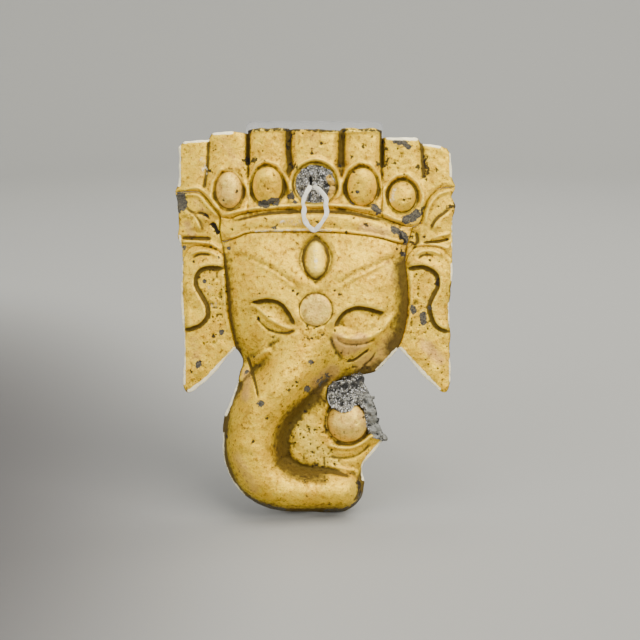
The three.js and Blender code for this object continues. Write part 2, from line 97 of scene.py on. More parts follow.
PLANE = LeaningPlane()
TO_WORLD = PLANE.to_world()


# ---------------------------------------------------------------- lines and shapes in the plane
def curved(points: Points, pitch: float = 1.1) -> np.ndarray:
    """A smooth line through the points.

    Args:
        points: Places in the plane, in millimetres.
        pitch: About how far apart its vertices are.

    Returns:
        The line's vertices, one row each.
    """
    p = np.array(points, dtype=float)
    p = np.vstack([2 * p[0] - p[1], p, 2 * p[-1] - p[-2]])
    parts = []
    for a, b, c, d in zip(p, p[1:], p[2:], p[3:]):
        steps = max(1, round(float(np.linalg.norm(c - b)) / pitch))
        t = np.arange(steps)[:, None] / steps
        square = (2 * a - 5 * b + 4 * c - d) * t**2
        cube = (3 * b - a - 3 * c + d) * t**3
        parts.append((2 * b + (c - a) * t + square + cube) / 2)
    return np.vstack([*parts, p[-2][None]])


def straight(points: Points) -> np.ndarray:
    """The points joined by straight lines."""
    return np.array(points, dtype=float)


def ragged(line: np.ndarray, amount: float = 0.28, seed: int = 5) -> np.ndarray:
    """A torn edge: the line with small bites to either side, its two ends kept.

    Args:
        line: The edge's vertices.
        amount: How far the edge strays, in millimetres.
        seed: Picks the bites.

    Returns:
        The edge with a vertex for about each 0.9 mm.
    """
    dense = []
    for a, b in zip(line, line[1:]):
        steps = max(1, round(float(np.linalg.norm(b - a)) / 0.9))
        dense.extend(a + (b - a) * i / steps for i in range(steps))
    dense = np.array([*dense, line[-1]])
    along = np.gradient(dense, axis=0)
    sideways = np.stack([-along[:, 1], along[:, 0]], axis=1)
    sideways /= np.linalg.norm(sideways, axis=1, keepdims=True) + 1e-9
    bites = noise(dense[:, 0], dense[:, 1], 2.2, seed) + noise(dense[:, 0], dense[:, 1], 5.5, seed + 1)
    bites[[0, -1]] = 0
    return dense + sideways * (amount * bites)[:, None]


def ring(centre: tuple[float, float], across: float, up: float, count: int = 72) -> np.ndarray:
    """An ellipse about a centre, anticlockwise."""
    turn = np.linspace(0, 2 * math.pi, count, endpoint=False)
    return np.stack([centre[0] + across * np.cos(turn), centre[1] + up * np.sin(turn)], axis=1)


def almond(centre: tuple[float, float], across: float, up: float, count: int = 36) -> np.ndarray:
    """A pointed oval about a centre, anticlockwise, with its points at top and bottom."""
    v = np.linspace(-1, 1, count, endpoint=False)
    bow = across * (1 - v**2)
    right = np.stack([centre[0] + bow, centre[1] + up * v], axis=1)
    left = np.stack([centre[0] - bow, centre[1] - up * v], axis=1)
    return np.vstack([right, left])


def chain(*lines: np.ndarray) -> np.ndarray:
    """One closed anticlockwise outline from lines that meet end to end."""
    every = np.vstack(lines)
    away = np.linalg.norm(every - np.roll(every, 1, axis=0), axis=1)
    every = every[away > 1e-3]
    following = np.roll(every, -1, axis=0)
    area = float(np.sum(every[:, 0] * following[:, 1] - following[:, 0] * every[:, 1]))
    return every if area > 0 else every[::-1]


def closed(outline: np.ndarray) -> np.ndarray:
    """The outline with its first vertex again at its end."""
    return np.vstack([outline, outline[:1]])


@dataclass
class Nearest:
    """Where each place lies against a line: how far off, on which side, and how far along."""

    distance: np.ndarray
    side: np.ndarray
    along: np.ndarray
    foot: np.ndarray
    left: np.ndarray


def nearest(line: np.ndarray, x: np.ndarray, u: np.ndarray) -> Nearest:
    """Measure places against a line.

    Args:
        line: The line's vertices; a single vertex is a point.
        x: Places to the right, in millimetres.
        u: Places up.

    Returns:
        Distance, side (+1 on the left of the line), millimetres along it, the nearest
        place on it, and the direction of its left side there.
    """
    here = np.stack([x, u], axis=1)
    if len(line) == 1:
        distance = np.linalg.norm(here - line[0], axis=1)
        blank = np.zeros(len(x))
        return Nearest(distance, blank + 1, blank, here * 0 + line[0], here * 0)
    found = Nearest(np.full(len(x), np.inf), np.ones(len(x)), np.zeros(len(x)),
                    np.zeros((len(x), 2)), np.zeros((len(x), 2)))
    start = 0.0
    for a, b in zip(line, line[1:]):
        step = b - a
        size = float(np.hypot(*step))
        if size < 1e-9:
            continue
        t = np.clip((here - a) @ step / size**2, 0, 1)
        foot = a + t[:, None] * step
        away = here - foot
        distance = np.hypot(away[:, 0], away[:, 1])
        closer = distance < found.distance
        side = np.where(step[0] * away[:, 1] - step[1] * away[:, 0] >= 0, 1.0, -1.0)
        found.distance[closer] = distance[closer]
        found.side[closer] = side[closer]
        found.along[closer] = start + size * t[closer]
        found.foot[closer] = foot[closer]
        found.left[closer] = np.array([-step[1], step[0]]) / size
        start += size
    return found


def inside(outline: np.ndarray, x: np.ndarray, u: np.ndarray) -> np.ndarray:
    """Which places lie inside the outline."""
    odd = np.zeros(len(x), dtype=bool)
    for (ax, au), (bx, bu) in zip(outline, np.roll(outline, -1, axis=0)):
        if au == bu:
            continue
        crosses = (au > u) != (bu > u)
        odd ^= crosses & (x < (bx - ax) * (u - au) / (bu - au) + ax)
    return odd


# ---------------------------------------------------------------- heights
def ease(start: float, end: float, value: np.ndarray) -> np.ndarray:
    """0 at start, 1 at end, smoothly between."""
    t = np.clip((value - start) / (end - start), 0, 1)
    return t * t * (3 - 2 * t)


def hump(r: np.ndarray, power: float = 2.0) -> np.ndarray:
    """1 in the middle, 0 from r = 1 outwards, and flatter on top at a higher power."""
    return np.maximum(0, 1 - np.abs(r) ** power)


def blend_max(a: np.ndarray, b: np.ndarray, soft: float = 0.8) -> np.ndarray:
    """The higher of two surfaces, with a fillet where they cross."""
    top = np.maximum(a, b)
    return top + soft * np.log(np.exp((a - top) / soft) + np.exp((b - top) / soft))


def noise(x: np.ndarray, u: np.ndarray, size: float, seed: int) -> np.ndarray:
    """Smooth random heights from -1 to 1, the same each run.

    Args:
        x: Places to the right, in millimetres.
        u: Places up.
        size: Width of a bump, in millimetres.
        seed: Picks the pattern.

    Returns:
        One value for each place.
    """
    cells = 64
    table = np.random.default_rng(seed).uniform(-1, 1, (cells, cells))
    gx, gu = x / size + 31.7, u / size + 17.3
    ix, iu = np.floor(gx).astype(int), np.floor(gu).astype(int)
    fx, fu = ease(0, 1, gx - ix), ease(0, 1, gu - iu)
    low = table[ix % cells, iu % cells] * (1 - fx) + table[(ix + 1) % cells, iu % cells] * fx
    top = table[ix % cells, (iu + 1) % cells] * (1 - fx)
    top += table[(ix + 1) % cells, (iu + 1) % cells] * fx
    return low * (1 - fu) + top * fu


class Mark(Enum):
    """What a patch on the metal is, from real discolouring and wear to patina with painted shade and painted
    highlight; each has its own vertex attribute.
    """

    PATINA_AND_SHADE = "patina_and_shade"    # brown patina, with painted shade in hollows, creases and on steep flanks
    GREY = "grey"        # gilding lost to grey metal
    SOOT = "soot"        # black crust
    BLUSH = "blush"      # coppery pink where the gold is thin
    SHINE = "shine"      # pale worn metal on edges, gold left on the grey fills, and painted highlight on ridges and bosses
    CREST_HIGHLIGHT = "crest"      # painted highlight: paler gold along crests and raised places
    PITTED = "pitted"    # eaten by small pits


@dataclass(frozen=True)
class Line:
    """A chased line: a ridge where its height is positive, a groove where it is negative."""

    points: Points
    height: float
    width: float
    stain: float = 0.0
    fade: float = 3.0
    angular: bool = False

    def shape(self, x: np.ndarray, u: np.ndarray) -> tuple[np.ndarray, np.ndarray]:
        """What the line adds to the height and to the patina and painted shade at each place."""
        line = straight(self.points) if self.angular else curved(self.points)
        found = nearest(line, x, u)
        length = float(np.linalg.norm(np.diff(line, axis=0), axis=1).sum())
        fade = min(self.fade, length / 2.2)
        ends = ease(0, fade, np.minimum(found.along, length - found.along) + 0.15 * fade)
        across = np.exp(-((found.distance / self.width) ** 2)) * ends
        return self.height * across, self.stain * across


@dataclass(frozen=True)
class Fold:
    """A fold: the metal on the left of the line stands higher, and eases down over reach."""

    points: Points
    height: float
    reach: float
    sharp: float = 0.5
    stain: float = 0.0
    fade: float = 4.0

    def shape(self, x: np.ndarray, u: np.ndarray) -> tuple[np.ndarray, np.ndarray]:
        """What the fold adds to the height and to the patina and painted shade at its foot."""
        line = curved(self.points)
        found = nearest(line, x, u)
        length = float(np.linalg.norm(np.diff(line, axis=0), axis=1).sum())
        fade = min(self.fade, length / 2.2)
        ends = ease(0, fade, np.minimum(found.along, length - found.along))
        signed = found.distance * found.side
        step = (1 + np.tanh(signed / self.sharp)) / 2
        rise = self.height * step * np.exp(-((np.maximum(signed, 0) / self.reach) ** 2)) * ends
        foot = np.exp(-(((signed + self.sharp) / (2 * self.sharp)) ** 2)) * ends
        return rise, self.stain * foot


@dataclass(frozen=True)
class Moat:
    """A groove round an inset piece."""

    centre: tuple[float, float]
    across: float
    up: float
    depth: float
    width: float
    pointed: bool = False
    stain: float = 0.7

    def shape(self, x: np.ndarray, u: np.ndarray) -> tuple[np.ndarray, np.ndarray]:
        """What the moat adds to the height and to the patina and painted shade in its groove."""
        outline = (almond if self.pointed else ring)(self.centre, self.across, self.up)
        found = nearest(closed(outline), x, u)
        groove = np.exp(-((found.distance / self.width) ** 2))
        return -self.depth * groove, self.stain * groove


@dataclass(frozen=True)
class Seat:
    """Where an inset piece covers the sheet, which sinks out of its way."""

    outline: np.ndarray
    depth: float = 3.0

    def shape(self, x: np.ndarray, u: np.ndarray) -> tuple[np.ndarray, np.ndarray]:
        """What the seat takes from the height; it leaves no stain."""
        covered = inside(self.outline, x, u)
        deep = ease(0.3, 1.6, nearest(closed(self.outline), x, u).distance)
        return -self.depth * deep * covered, np.zeros(len(x))


@dataclass(frozen=True)
class Patch:
    """A mark along a line, or at a point, that fades out over its width: real discolouring or wear, patina
    with painted shade, or painted highlight, as its mark says.
    """

    mark: Mark
    points: Points
    width: float
    strength: float = 1.0

    def amount(self, x: np.ndarray, u: np.ndarray) -> np.ndarray:
        """How strong the mark is at each place."""
        line = curved(self.points) if len(self.points) > 1 else straight(self.points)
        off = nearest(line, x, u).distance / self.width
        if self.mark in (Mark.PATINA_AND_SHADE, Mark.BLUSH, Mark.CREST_HIGHLIGHT):
            return self.strength * ease(1.5, 0.1, off)
        return self.strength * np.clip(1.6 - 1.1 * off, 0, 1)


@dataclass(frozen=True)
class Dents:
    """Small pits at given places, each a dark dimple."""

    places: Points
    radius: float = 0.75
    depth: float = 0.3

    def shape(self, x: np.ndarray, u: np.ndarray) -> np.ndarray:
        """How deep each place lies in a pit, from 0 to 1."""
        deep = np.zeros(len(x))
        for index, (px, pu) in enumerate(self.places):
            radius = self.radius * (0.75 + 0.5 * ((index * 0.37) % 1))
            deep = np.maximum(deep, np.exp(-(((x - px) ** 2 + (u - pu) ** 2) / radius**2)))
        return deep


# ---------------------------------------------------------------- meshes
def trimmed_grid(outline: np.ndarray, step: float, gap: float) -> bmesh.types.BMesh:
    """A flat grid trimmed to an outline, its edge drawn onto the outline.

    Args:
        outline: A closed anticlockwise outline in the plane, in millimetres.
        step: Size of a grid cell.
        gap: How far inside the outline the edge stays.

    Returns:
        A bmesh in plane millimetres at h = 0, facing out.
    """
    low, high = outline.min(axis=0) - step, outline.max(axis=0) + step
    size, middle = high - low, (low + high) / 2
    columns, rows = (int(n) for n in np.ceil(size / step))
    bm = bmesh.new()
    spread = Matrix.Diagonal((size[0], size[1], 1, 1))
    bmesh.ops.create_grid(bm, x_segments=columns, y_segments=rows, size=0.5,
                          matrix=Matrix.Translation((*middle, 0)) @ spread)
    faces = list(bm.faces)
    centres = np.array([face.calc_center_median()[:2] for face in faces])
    ring_line = closed(outline)
    keep = inside(outline, centres[:, 0], centres[:, 1])
    keep &= nearest(ring_line, centres[:, 0], centres[:, 1]).distance > gap + 0.1 * step
    bmesh.ops.delete(bm, geom=[f for f, kept in zip(faces, keep) if not kept], context="FACES")
    edge = [v for v in bm.verts if v.is_boundary]
    places = np.array([v.co[:2] for v in edge])
    found = nearest(ring_line, places[:, 0], places[:, 1])
    for vert, (x, u) in zip(edge, found.foot + gap * found.left):
        vert.co.x, vert.co.y = x, u
    near = {v for e in edge for link in e.link_faces for v in link.verts}
    near |= {v for n in list(near) for link in n.link_faces for v in link.verts}
    inner = [v for v in near if not v.is_boundary]
    for _ in range(4):
        bmesh.ops.smooth_vert(bm, verts=inner, factor=0.5, use_axis_x=True, use_axis_y=True)
    return bm


def spread_out(values: np.ndarray, edges: np.ndarray, times: int) -> np.ndarray:
    """Average each vertex with its neighbours, a number of times.

    Args:
        values: One value for each vertex.
        edges: Pairs of vertex indices.
        times: How often; more reaches further.

    Returns:
        The smoothed values.
    """
    first, second = edges[:, 0], edges[:, 1]
    count = np.bincount(first, minlength=len(values)) + np.bincount(second, minlength=len(values))
    for _ in range(times):
        total = np.bincount(first, weights=values[second], minlength=len(values))
        total += np.bincount(second, weights=values[first], minlength=len(values))
        values = (values + total) / (1 + count)
    return values


def finished(bm: bmesh.types.BMesh, name: str, matrix: Matrix = TO_WORLD,
             smooth: bool = True) -> bpy.types.Object:
    """Make an object at the origin from a bmesh, with its place in its mesh.

    Args:
        bm: The piece; it is freed.
        name: The object's name.
        matrix: Takes it to metres in the frame.
        smooth: Whether its faces are shaded smooth.

    Returns:
        The new object, linked to the scene.
    """
    bm.transform(matrix)
    bm.normal_update()
    for face in bm.faces:
        face.smooth = smooth
    mesh = bpy.data.meshes.new(name)
    bm.to_mesh(mesh)
    bm.free()
    piece = bpy.data.objects.new(name, mesh)
    bpy.context.scene.collection.objects.link(piece)
    return piece


def hand_over(piece: bpy.types.Object, body: str, node: str) -> None:
    """Say which body a piece rides, which CAD node it stands for."""
    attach(piece, body)
    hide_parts(node)
    LOG.info("%s rides on %s for %s, %d faces", piece.name, body, node,
             len(piece.data.polygons) if piece.type == "MESH" else 0)


def harden(piece: bpy.types.Object, degrees: float) -> None:
    """Mark edges that turn by more than an angle as sharp.

    Args:
        piece: A mesh object with smooth faces.
        degrees: The least turn that stays crisp.
    """
    bm = bmesh.new()
    bm.from_mesh(piece.data)
    for edge in bm.edges:
        if len(edge.link_faces) == 2 and edge.calc_face_angle(0.0) > math.radians(degrees):
            edge.smooth = False
    bm.to_mesh(piece.data)
    bm.free()


def chamfer(piece: bpy.types.Object, width: float, segments: int = 2) -> None:
    """Round a piece's sharp edges.

    Args:
        piece: The object.
        width: Width of the rounding, in millimetres.
        segments: Steps in it.
    """
    bevel = piece.modifiers.new("rounded edges", "BEVEL")
    bevel.width = width * MM
    bevel.segments = segments
    bevel.limit_method = "ANGLE"
    bevel.angle_limit = math.radians(40)
    bevel.harden_normals = False


# ---------------------------------------------------------------- materials
def linear(code: str) -> tuple[float, float, float, float]:
    """An sRGB hex colour as the linear numbers that a shader takes."""
    parts = [int(code[i:i + 2], 16) / 255 for i in (1, 3, 5)]
    return (*(c / 12.92 if c <= 0.04045 else ((c + 0.055) / 1.055) ** 2.4 for c in parts), 1.0)


def add(tree: bpy.types.NodeTree, kind: str, inputs: dict[Any, Any] | None = None,
        **settings: Any) -> bpy.types.Node:
    """Add a node with its settings and links.

    Args:
        tree: The material's node tree.
        kind: The node's type, without its "ShaderNode" prefix.
        inputs: A value, or a socket to link from, for each input's name or number.
        settings: Properties of the node.

    Returns:
        The node.
    """
    node = tree.nodes.new("ShaderNode" + kind)
    for key, value in settings.items():
        setattr(node, key, value)
    for key, value in (inputs or {}).items():
        if isinstance(value, bpy.types.NodeSocket):
            tree.links.new(value, node.inputs[key])
        else:
            node.inputs[key].default_value = value
    return node


@dataclass
class Paint:
    """A material in the making: its tree, its shader, and the colour so far."""

    material: bpy.types.Material
    tree: bpy.types.NodeTree
    shader: bpy.types.Node
    where: bpy.types.NodeSocket

    @classmethod
    def start(cls, name: str) -> "Paint":
        """A new material with a principled shader and object coordinates."""
        material = bpy.data.materials.new(name)
        material.use_nodes = True
        tree = material.node_tree
        tree.nodes.clear()
        shader = add(tree, "BsdfPrincipled")
        add(tree, "OutputMaterial", {"Surface": shader.outputs["BSDF"]})
        where = add(tree, "TexCoord").outputs["Object"]
        return cls(material, tree, shader, where)

    def grain(self, size: float, detail: float = 3.0, stretch: tuple | None = None) -> bpy.types.NodeSocket:
        """Noise whose patches are about size millimetres wide, from 0 to 1."""
        where = self.where
        if stretch:
            where = add(self.tree, "Mapping", {"Vector": where, "Scale": stretch}).outputs[0]
        return add(self.tree, "TexNoise", {"Vector": where, "Scale": 1 / (size * MM),
                                           "Detail": detail, "Roughness": 0.6}).outputs["Fac"]

    def cells(self, size: float) -> bpy.types.Node:
        """A Voronoi texture whose cells are about size millimetres wide."""
        return add(self.tree, "TexVoronoi", {"Vector": self.where, "Scale": 1 / (size * MM)})

    def span(self, value: Any, low: float, high: float,
             to: tuple[float, float] = (0.0, 1.0)) -> bpy.types.NodeSocket:
        """Ease a value from the range low..high to the range given by to."""
        return add(self.tree, "MapRange", {"Value": value, "From Min": low, "From Max": high,
                                           "To Min": to[0], "To Max": to[1]},
                   interpolation_type="SMOOTHSTEP").outputs["Result"]

    def sum(self, a: Any, b: Any, operation: str = "ADD") -> bpy.types.NodeSocket:
        """Two values combined by a maths operation."""
        return add(self.tree, "Math", {0: a, 1: b}, operation=operation).outputs[0]

    def mix(self, under: Any, over: Any, amount: Any, blend: str = "MIX") -> bpy.types.NodeSocket:
        """One colour over another."""
        node = add(self.tree, "Mix", data_type="RGBA", blend_type=blend)
        for key, value in ((0, amount), (6, under), (7, over)):
            if isinstance(value, bpy.types.NodeSocket):
                self.tree.links.new(value, node.inputs[key])
            else:
                node.inputs[key].default_value = linear(value) if isinstance(value, str) else value
        return node.outputs[2]

    def mark(self, mark: Mark) -> bpy.types.NodeSocket:
        """How strong a mark is on the piece's surface."""
        return add(self.tree, "Attribute", attribute_name=mark.value).outputs["Fac"]

    def bump(self, height: Any, distance: float, strength: float = 1.0) -> None:
        """Stand the surface up by a height, distance being millimetres at height 1."""
        node = add(self.tree, "Bump", {"Height": height, "Distance": distance * MM,
                                       "Strength": strength})
        self.tree.links.new(node.outputs[0], self.shader.inputs["Normal"])

    def wire(self, name: str, value: Any) -> None:
        """Set one of the shader's inputs, or link it."""
        if isinstance(value, bpy.types.NodeSocket):
            self.tree.links.new(value, self.shader.inputs[name])
        else:
            self.shader.inputs[name].default_value = linear(value) if isinstance(value, str) else value


@dataclass(frozen=True)
class FireGilding:
    """Old fire gilding on beaten copper.

    Soft satin gold with warm clouding, brown patina with painted shade in the hollows and on steep flanks,
    coppery thin places, grey lost patches, black crust, pale worn edges, and painted highlight on crests.
    """

    name: str = "fire gilding, beaten and worn"
    gold: str = "#f9d43a"
    warm: str = "#e8bc32"
    highlight_gold: str = "#ffe25e"
    brown: str = "#4c3a12"
    pink: str = "#e2b876"
    lost: str = "#6c6552"
    crust: str = "#1f1a13"
    wear_and_highlight: str = "#fff6cf"
    ochre: str = "#a87c22"
    glint: str = "#ffe262"
    umber: str = "#8a6420"
    amber: str = "#9a7626"
    pit: str = "#35260f"
    speck: str = "#4d3714"
    ash: str = "#3b3934"
    roughness: float = 0.64
    metallic: float = 1.0

    def material(self) -> bpy.types.Material:
        """Build the gilding's nodes.

        Returns:
            The material.
        """
        p = Paint.start(self.name)
        clouds = p.grain(9.0, 4.0)
        mottle = p.grain(1.8, 5.0)
        fine = p.grain(0.55, 3.0)
        broken = p.sum(mottle, 0.5, "SUBTRACT")
        color = p.mix(self.gold, self.warm, p.span(clouds, 0.42, 0.7))
        color = p.mix(color, self.ochre, p.span(mottle, 0.5, 0.7, (0.0, 0.7)))
        color = p.mix(color, self.glint, p.span(mottle, 0.45, 0.28, (0.0, 0.5)))
        color = p.mix(color, self.umber, p.span(fine, 0.54, 0.72, (0.0, 0.5)))
        color = p.mix(color, self.amber, p.span(p.grain(5.0, 3.0), 0.52, 0.72, (0.0, 0.5)))
        # Painted highlight: paler, richer gold on crests and raised places.
        color = p.mix(color, self.highlight_gold, p.span(p.mark(Mark.CREST_HIGHLIGHT), 0.05, 0.8, (0.0, 0.8)))
        # Thin gold lets the copper through as a pinkish blush with soft edges.
        blush = p.span(p.sum(p.mark(Mark.BLUSH), p.sum(broken, 0.8, "MULTIPLY")), 0.25, 0.9)
        color = p.mix(color, self.pink, p.sum(blush, 0.6, "MULTIPLY"))
        # Brown patina, with painted shade in the hollows and on steep flanks.
        patina_and_shade = p.sum(p.mark(Mark.PATINA_AND_SHADE), p.sum(broken, 0.9, "MULTIPLY"))
        patina_and_shade = p.span(patina_and_shade, 0.12, 1.1)
        color = p.mix(color, self.brown, p.sum(patina_and_shade, 0.92, "MULTIPLY"))
        # Pits a fifth of a millimetre to half a millimetre wide, thick where the metal is eaten.
        pit = self.pits(p, 2.6, 0.3, (0.02, 0.2), 0.52)
        specks = self.pits(p, 1.5, 0.25, (0.1, 0.22), 0.4)
        color = p.mix(color, self.pit, p.sum(pit, 0.85, "MULTIPLY"))
        color = p.mix(color, self.speck, p.sum(specks, 0.75, "MULTIPLY"))
        lost = p.span(p.sum(p.mark(Mark.GREY), p.sum(broken, 2.4, "MULTIPLY")), 0.46, 0.62)
        color = p.mix(color, p.mix(self.lost, self.ash, p.span(fine, 0.42, 0.6)), lost)
        crust = p.span(p.sum(p.mark(Mark.SOOT), p.sum(broken, 3.4, "MULTIPLY")), 0.5, 0.75)
        color = p.mix(color, self.crust, p.sum(crust, 0.9, "MULTIPLY"))
        # Pale worn metal at edges, with painted highlight on ridges and bosses.
        wear_and_highlight = p.span(p.sum(p.mark(Mark.SHINE), p.sum(broken, 1.3, "MULTIPLY")), 0.4, 0.8)
        color = p.mix(color, self.wear_and_highlight, wear_and_highlight)
        p.wire("Base Color", color)
        dull = p.sum(p.sum(lost, crust, "MAXIMUM"), p.sum(patina_and_shade, 0.5, "MULTIPLY"), "MAXIMUM")
        p.wire("Metallic", p.span(p.sum(dull, wear_and_highlight, "MAXIMUM"), 0.0, 1.0, (self.metallic, 0.3)))
        rough = p.sum(p.span(mottle, 0.3, 0.7, (-0.08, 0.1)), self.roughness)
        p.wire("Roughness", p.sum(rough, p.sum(dull, 0.3, "MULTIPLY")))
        height = p.sum(p.sum(mottle, 0.6, "MULTIPLY"), p.sum(fine, 0.3, "MULTIPLY"))
        height = p.sum(height, p.sum(pit, 0.5, "MULTIPLY"), "SUBTRACT")
        height = p.sum(height, p.sum(lost, 0.35, "MULTIPLY"), "SUBTRACT")
        p.bump(p.sum(height, p.grain(3.4, 2.0)), 0.48)
        return p.material

    def pits(self, p: Paint, pitch: float, eaten: float, radii: tuple[float, float],
             kept: float) -> bpy.types.NodeSocket:
        """Small round pits in the gilding.

        Args:
            p: The material in the making.
            pitch: About how far apart they are, in millimetres.
            eaten: How much the pitted mark adds to them.
            radii: The narrowest and the widest, as shares of the pitch.
            kept: How rare they are, 0 to 1.

        Returns:
            1 in a pit and 0 elsewhere.
        """
        cells = p.cells(pitch)
        marked = p.sum(p.mark(Mark.PITTED), eaten, "MULTIPLY")
        size = p.span(p.sum(p.grain(5.0, 1.0), marked), 0.4, 0.85, radii)
        pit = p.sum(cells.outputs["Distance"], size, "LESS_THAN")
        chosen = p.span(p.sum(cells.outputs["Color"], marked), kept, kept + 0.08)
        return p.sum(pit, chosen, "MULTIPLY")


@dataclass(frozen=True)
class BeatenReverse:
    """The plaque's back: bare beaten copper gone brown, with hammer facets and dull green."""

    name: str = "oxidised beaten copper"
    copper: str = "#6e5138"
    dark: str = "#33261c"
    bloom: str = "#6f7a66"

    def material(self) -> bpy.types.Material:
        """Build the reverse's nodes."""
        p = Paint.start(self.name)
        facets = p.cells(3.2)
        mottle = p.grain(2.4, 5.0)
        color = p.mix(self.copper, self.dark, p.span(mottle, 0.4, 0.65))
        color = p.mix(color, self.bloom, p.span(p.grain(7.0, 4.0), 0.6, 0.78, (0.0, 0.5)))
        p.wire("Base Color", color)
        p.wire("Metallic", 0.7)
        p.wire("Roughness", p.span(mottle, 0.3, 0.7, (0.45, 0.7)))
        p.bump(p.sum(facets.outputs["Distance"], p.sum(mottle, 0.5, "MULTIPLY")), 0.35)
        return p.material


@dataclass(frozen=True)
class CutEdge:
    """The sheet's cut edge: brown gold, worn to pale metal where it is open to the hand, with painted
    highlight.
    """

    name: str = "rubbed sheet edge"
    pale: str = "#e9e2cf"
    nick: str = "#8d8674"
    gold: str = "#b08a35"

    def material(self) -> bpy.types.Material:
        """Build the edge's nodes."""
        p = Paint.start(self.name)
        nicks = p.grain(1.1, 4.0)
        pale = p.mix(self.pale, self.nick, p.span(nicks, 0.5, 0.65))
        p.wire("Base Color", p.mix(self.gold, pale, p.span(p.mark(Mark.SHINE), 0.2, 0.6)))
        p.wire("Metallic", 0.6)
        p.wire("Roughness", p.span(nicks, 0.3, 0.7, (0.3, 0.6)))
        p.bump(nicks, 0.15)
        return p.material


@dataclass(frozen=True)
class GreyFill:
    """Crumbled grey solder: light crystalline faces, with painted shade in black between them."""

    name: str = "crumbled grey solder"
    light: str = "#a3a193"
    mid: str = "#5e5d56"
    smooth: str = "#86867e"
    black: str = "#191817"
    sparkle: str = "#ffffff"
    gilt: str = "#d8b24e"

    def material(self) -> bpy.types.Material:
        """Build the solder's nodes."""
        p = Paint.start(self.name)
        crumbs = p.grain(1.0, 6.0)
        grit = p.grain(0.6, 4.0)
        color = p.mix(self.mid, self.light, p.span(crumbs, 0.46, 0.6))
        # Painted shade: black in the low places between the crumbs.
        color = p.mix(color, self.black, p.span(crumbs, 0.44, 0.38, (0.0, 0.9)))
        color = p.mix(color, self.sparkle, p.span(grit, 0.56, 0.64))
        color = p.mix(color, self.gilt, p.span(p.mark(Mark.SHINE), 0.4, 0.7))
        color = p.mix(color, self.smooth, p.span(p.mark(Mark.GREY), 0.3, 0.8))
        # Patina and painted shade in hollows, and the low places between the crumbs, turn black.
        dark = p.sum(p.mark(Mark.PATINA_AND_SHADE), p.sum(p.sum(crumbs, 0.5, "SUBTRACT"), 4, "MULTIPLY"))
        color = p.mix(color, self.black, p.span(dark, 0.4, 0.8, (0.0, 0.9)))
        p.wire("Base Color", color)
        p.wire("Metallic", 0.55)
        p.wire("Roughness", p.span(grit, 0.3, 0.7, (0.35, 0.75)))
        p.bump(p.sum(crumbs, p.sum(grit, 0.5, "MULTIPLY")), 0.5)
        return p.material


@dataclass(frozen=True)
class BrassStrip:
    """Rolled brass strip, tarnished, with fine lines along its length."""

    name: str = "rolled brass strip"
    brass: str = "#b0924f"
    tarnish: str = "#6f5a33"

    def material(self) -> bpy.types.Material:
        """Build the brass's nodes."""
        p = Paint.start(self.name)
        lines = p.grain(0.5, 3.0, (0.05, 1, 1))
        spots = p.grain(4.0, 5.0)
        p.wire("Base Color", p.mix(self.brass, self.tarnish, p.span(spots, 0.42, 0.68)))
        p.wire("Metallic", 1.0)
        p.wire("Roughness", p.span(lines, 0.3, 0.7, (0.28, 0.5)))
        p.bump(p.sum(lines, p.sum(spots, 0.5, "MULTIPLY")), 0.06)
        return p.material


@dataclass(frozen=True)
class CottonTape:
    """Woven cotton tape: matt off-white with the fine rib of its threads."""

    name: str = "woven cotton tape"
    cotton: str = "#f2efdf"
    shade: str = "#cfc9ac"
    between: str = "#b7ae8c"
    thread: float = 0.32    # drawn twice as coarse as sewing thread, so that it shows

    def material(self) -> bpy.types.Material:
        """Build the tape's nodes."""
        p = Paint.start(self.name)
        warp, weft = (
            add(p.tree, "TexWave", {"Vector": p.where, "Scale": 0.32 / (self.thread * MM),
                                    "Distortion": 1.5, "Detail": 1.0}, bands_direction=axis)
            for axis in ("X", "Z"))
        weave = p.sum(warp.outputs["Fac"], weft.outputs["Fac"], "MULTIPLY")
        soil = p.grain(2.0, 3.0)
        color = p.mix(self.cotton, self.shade, p.span(soil, 0.45, 0.75))
        # Painted shade: darker in the gaps between the threads.
        p.wire("Base Color", p.mix(color, self.between, p.span(weave, 0.4, 0.0, (0.0, 0.35))))
        p.wire("Roughness", 0.9)
        p.shader.inputs["Sheen Weight"].default_value = 0.3
        p.bump(weave, 0.08)
        return p.material


@dataclass(frozen=True)
class ClearAcrylic:
    """Clear cast acrylic: a thin see-through gloss with a few fine scratches."""

    name: str = "clear cast acrylic"
    tint: str = "#aeb6b6"
    haze: str = "#ffffff"
    body: float = 0.16

    def material(self) -> bpy.types.Material:
        """Build the acrylic's nodes."""
        p = Paint.start(self.name)
        haze = p.grain(6.0, 4.0)
        p.wire("Base Color", p.mix(self.tint, self.haze, haze))
        p.wire("Alpha", self.body)
        p.wire("IOR", 1.49)
        p.wire("Roughness", p.span(haze, 0.45, 0.75, (0.01, 0.07)))
        p.bump(p.grain(1.0, 2.0, (0.1, 1, 1)), 0.01)
        return p.material


@dataclass(frozen=True)
class ClearSilicone:
    """Moulded silicone: milky, soft, faintly dusty."""

    name: str = "moulded silicone"
    milk: str = "#dfe3e1"
    dusty: str = "#c9cbc6"

    def material(self) -> bpy.types.Material:
        """Build the silicone's nodes."""
        p = Paint.start(self.name)
        dust = p.grain(0.9, 4.0)
        p.wire("Base Color", p.mix(self.milk, self.dusty, p.span(dust, 0.5, 0.7)))
        p.wire("Transmission Weight", 0.35)
        p.wire("IOR", 1.43)
        p.wire("Roughness", p.span(dust, 0.3, 0.7, (0.35, 0.55)))
        p.bump(dust, 0.03)
        return p.material


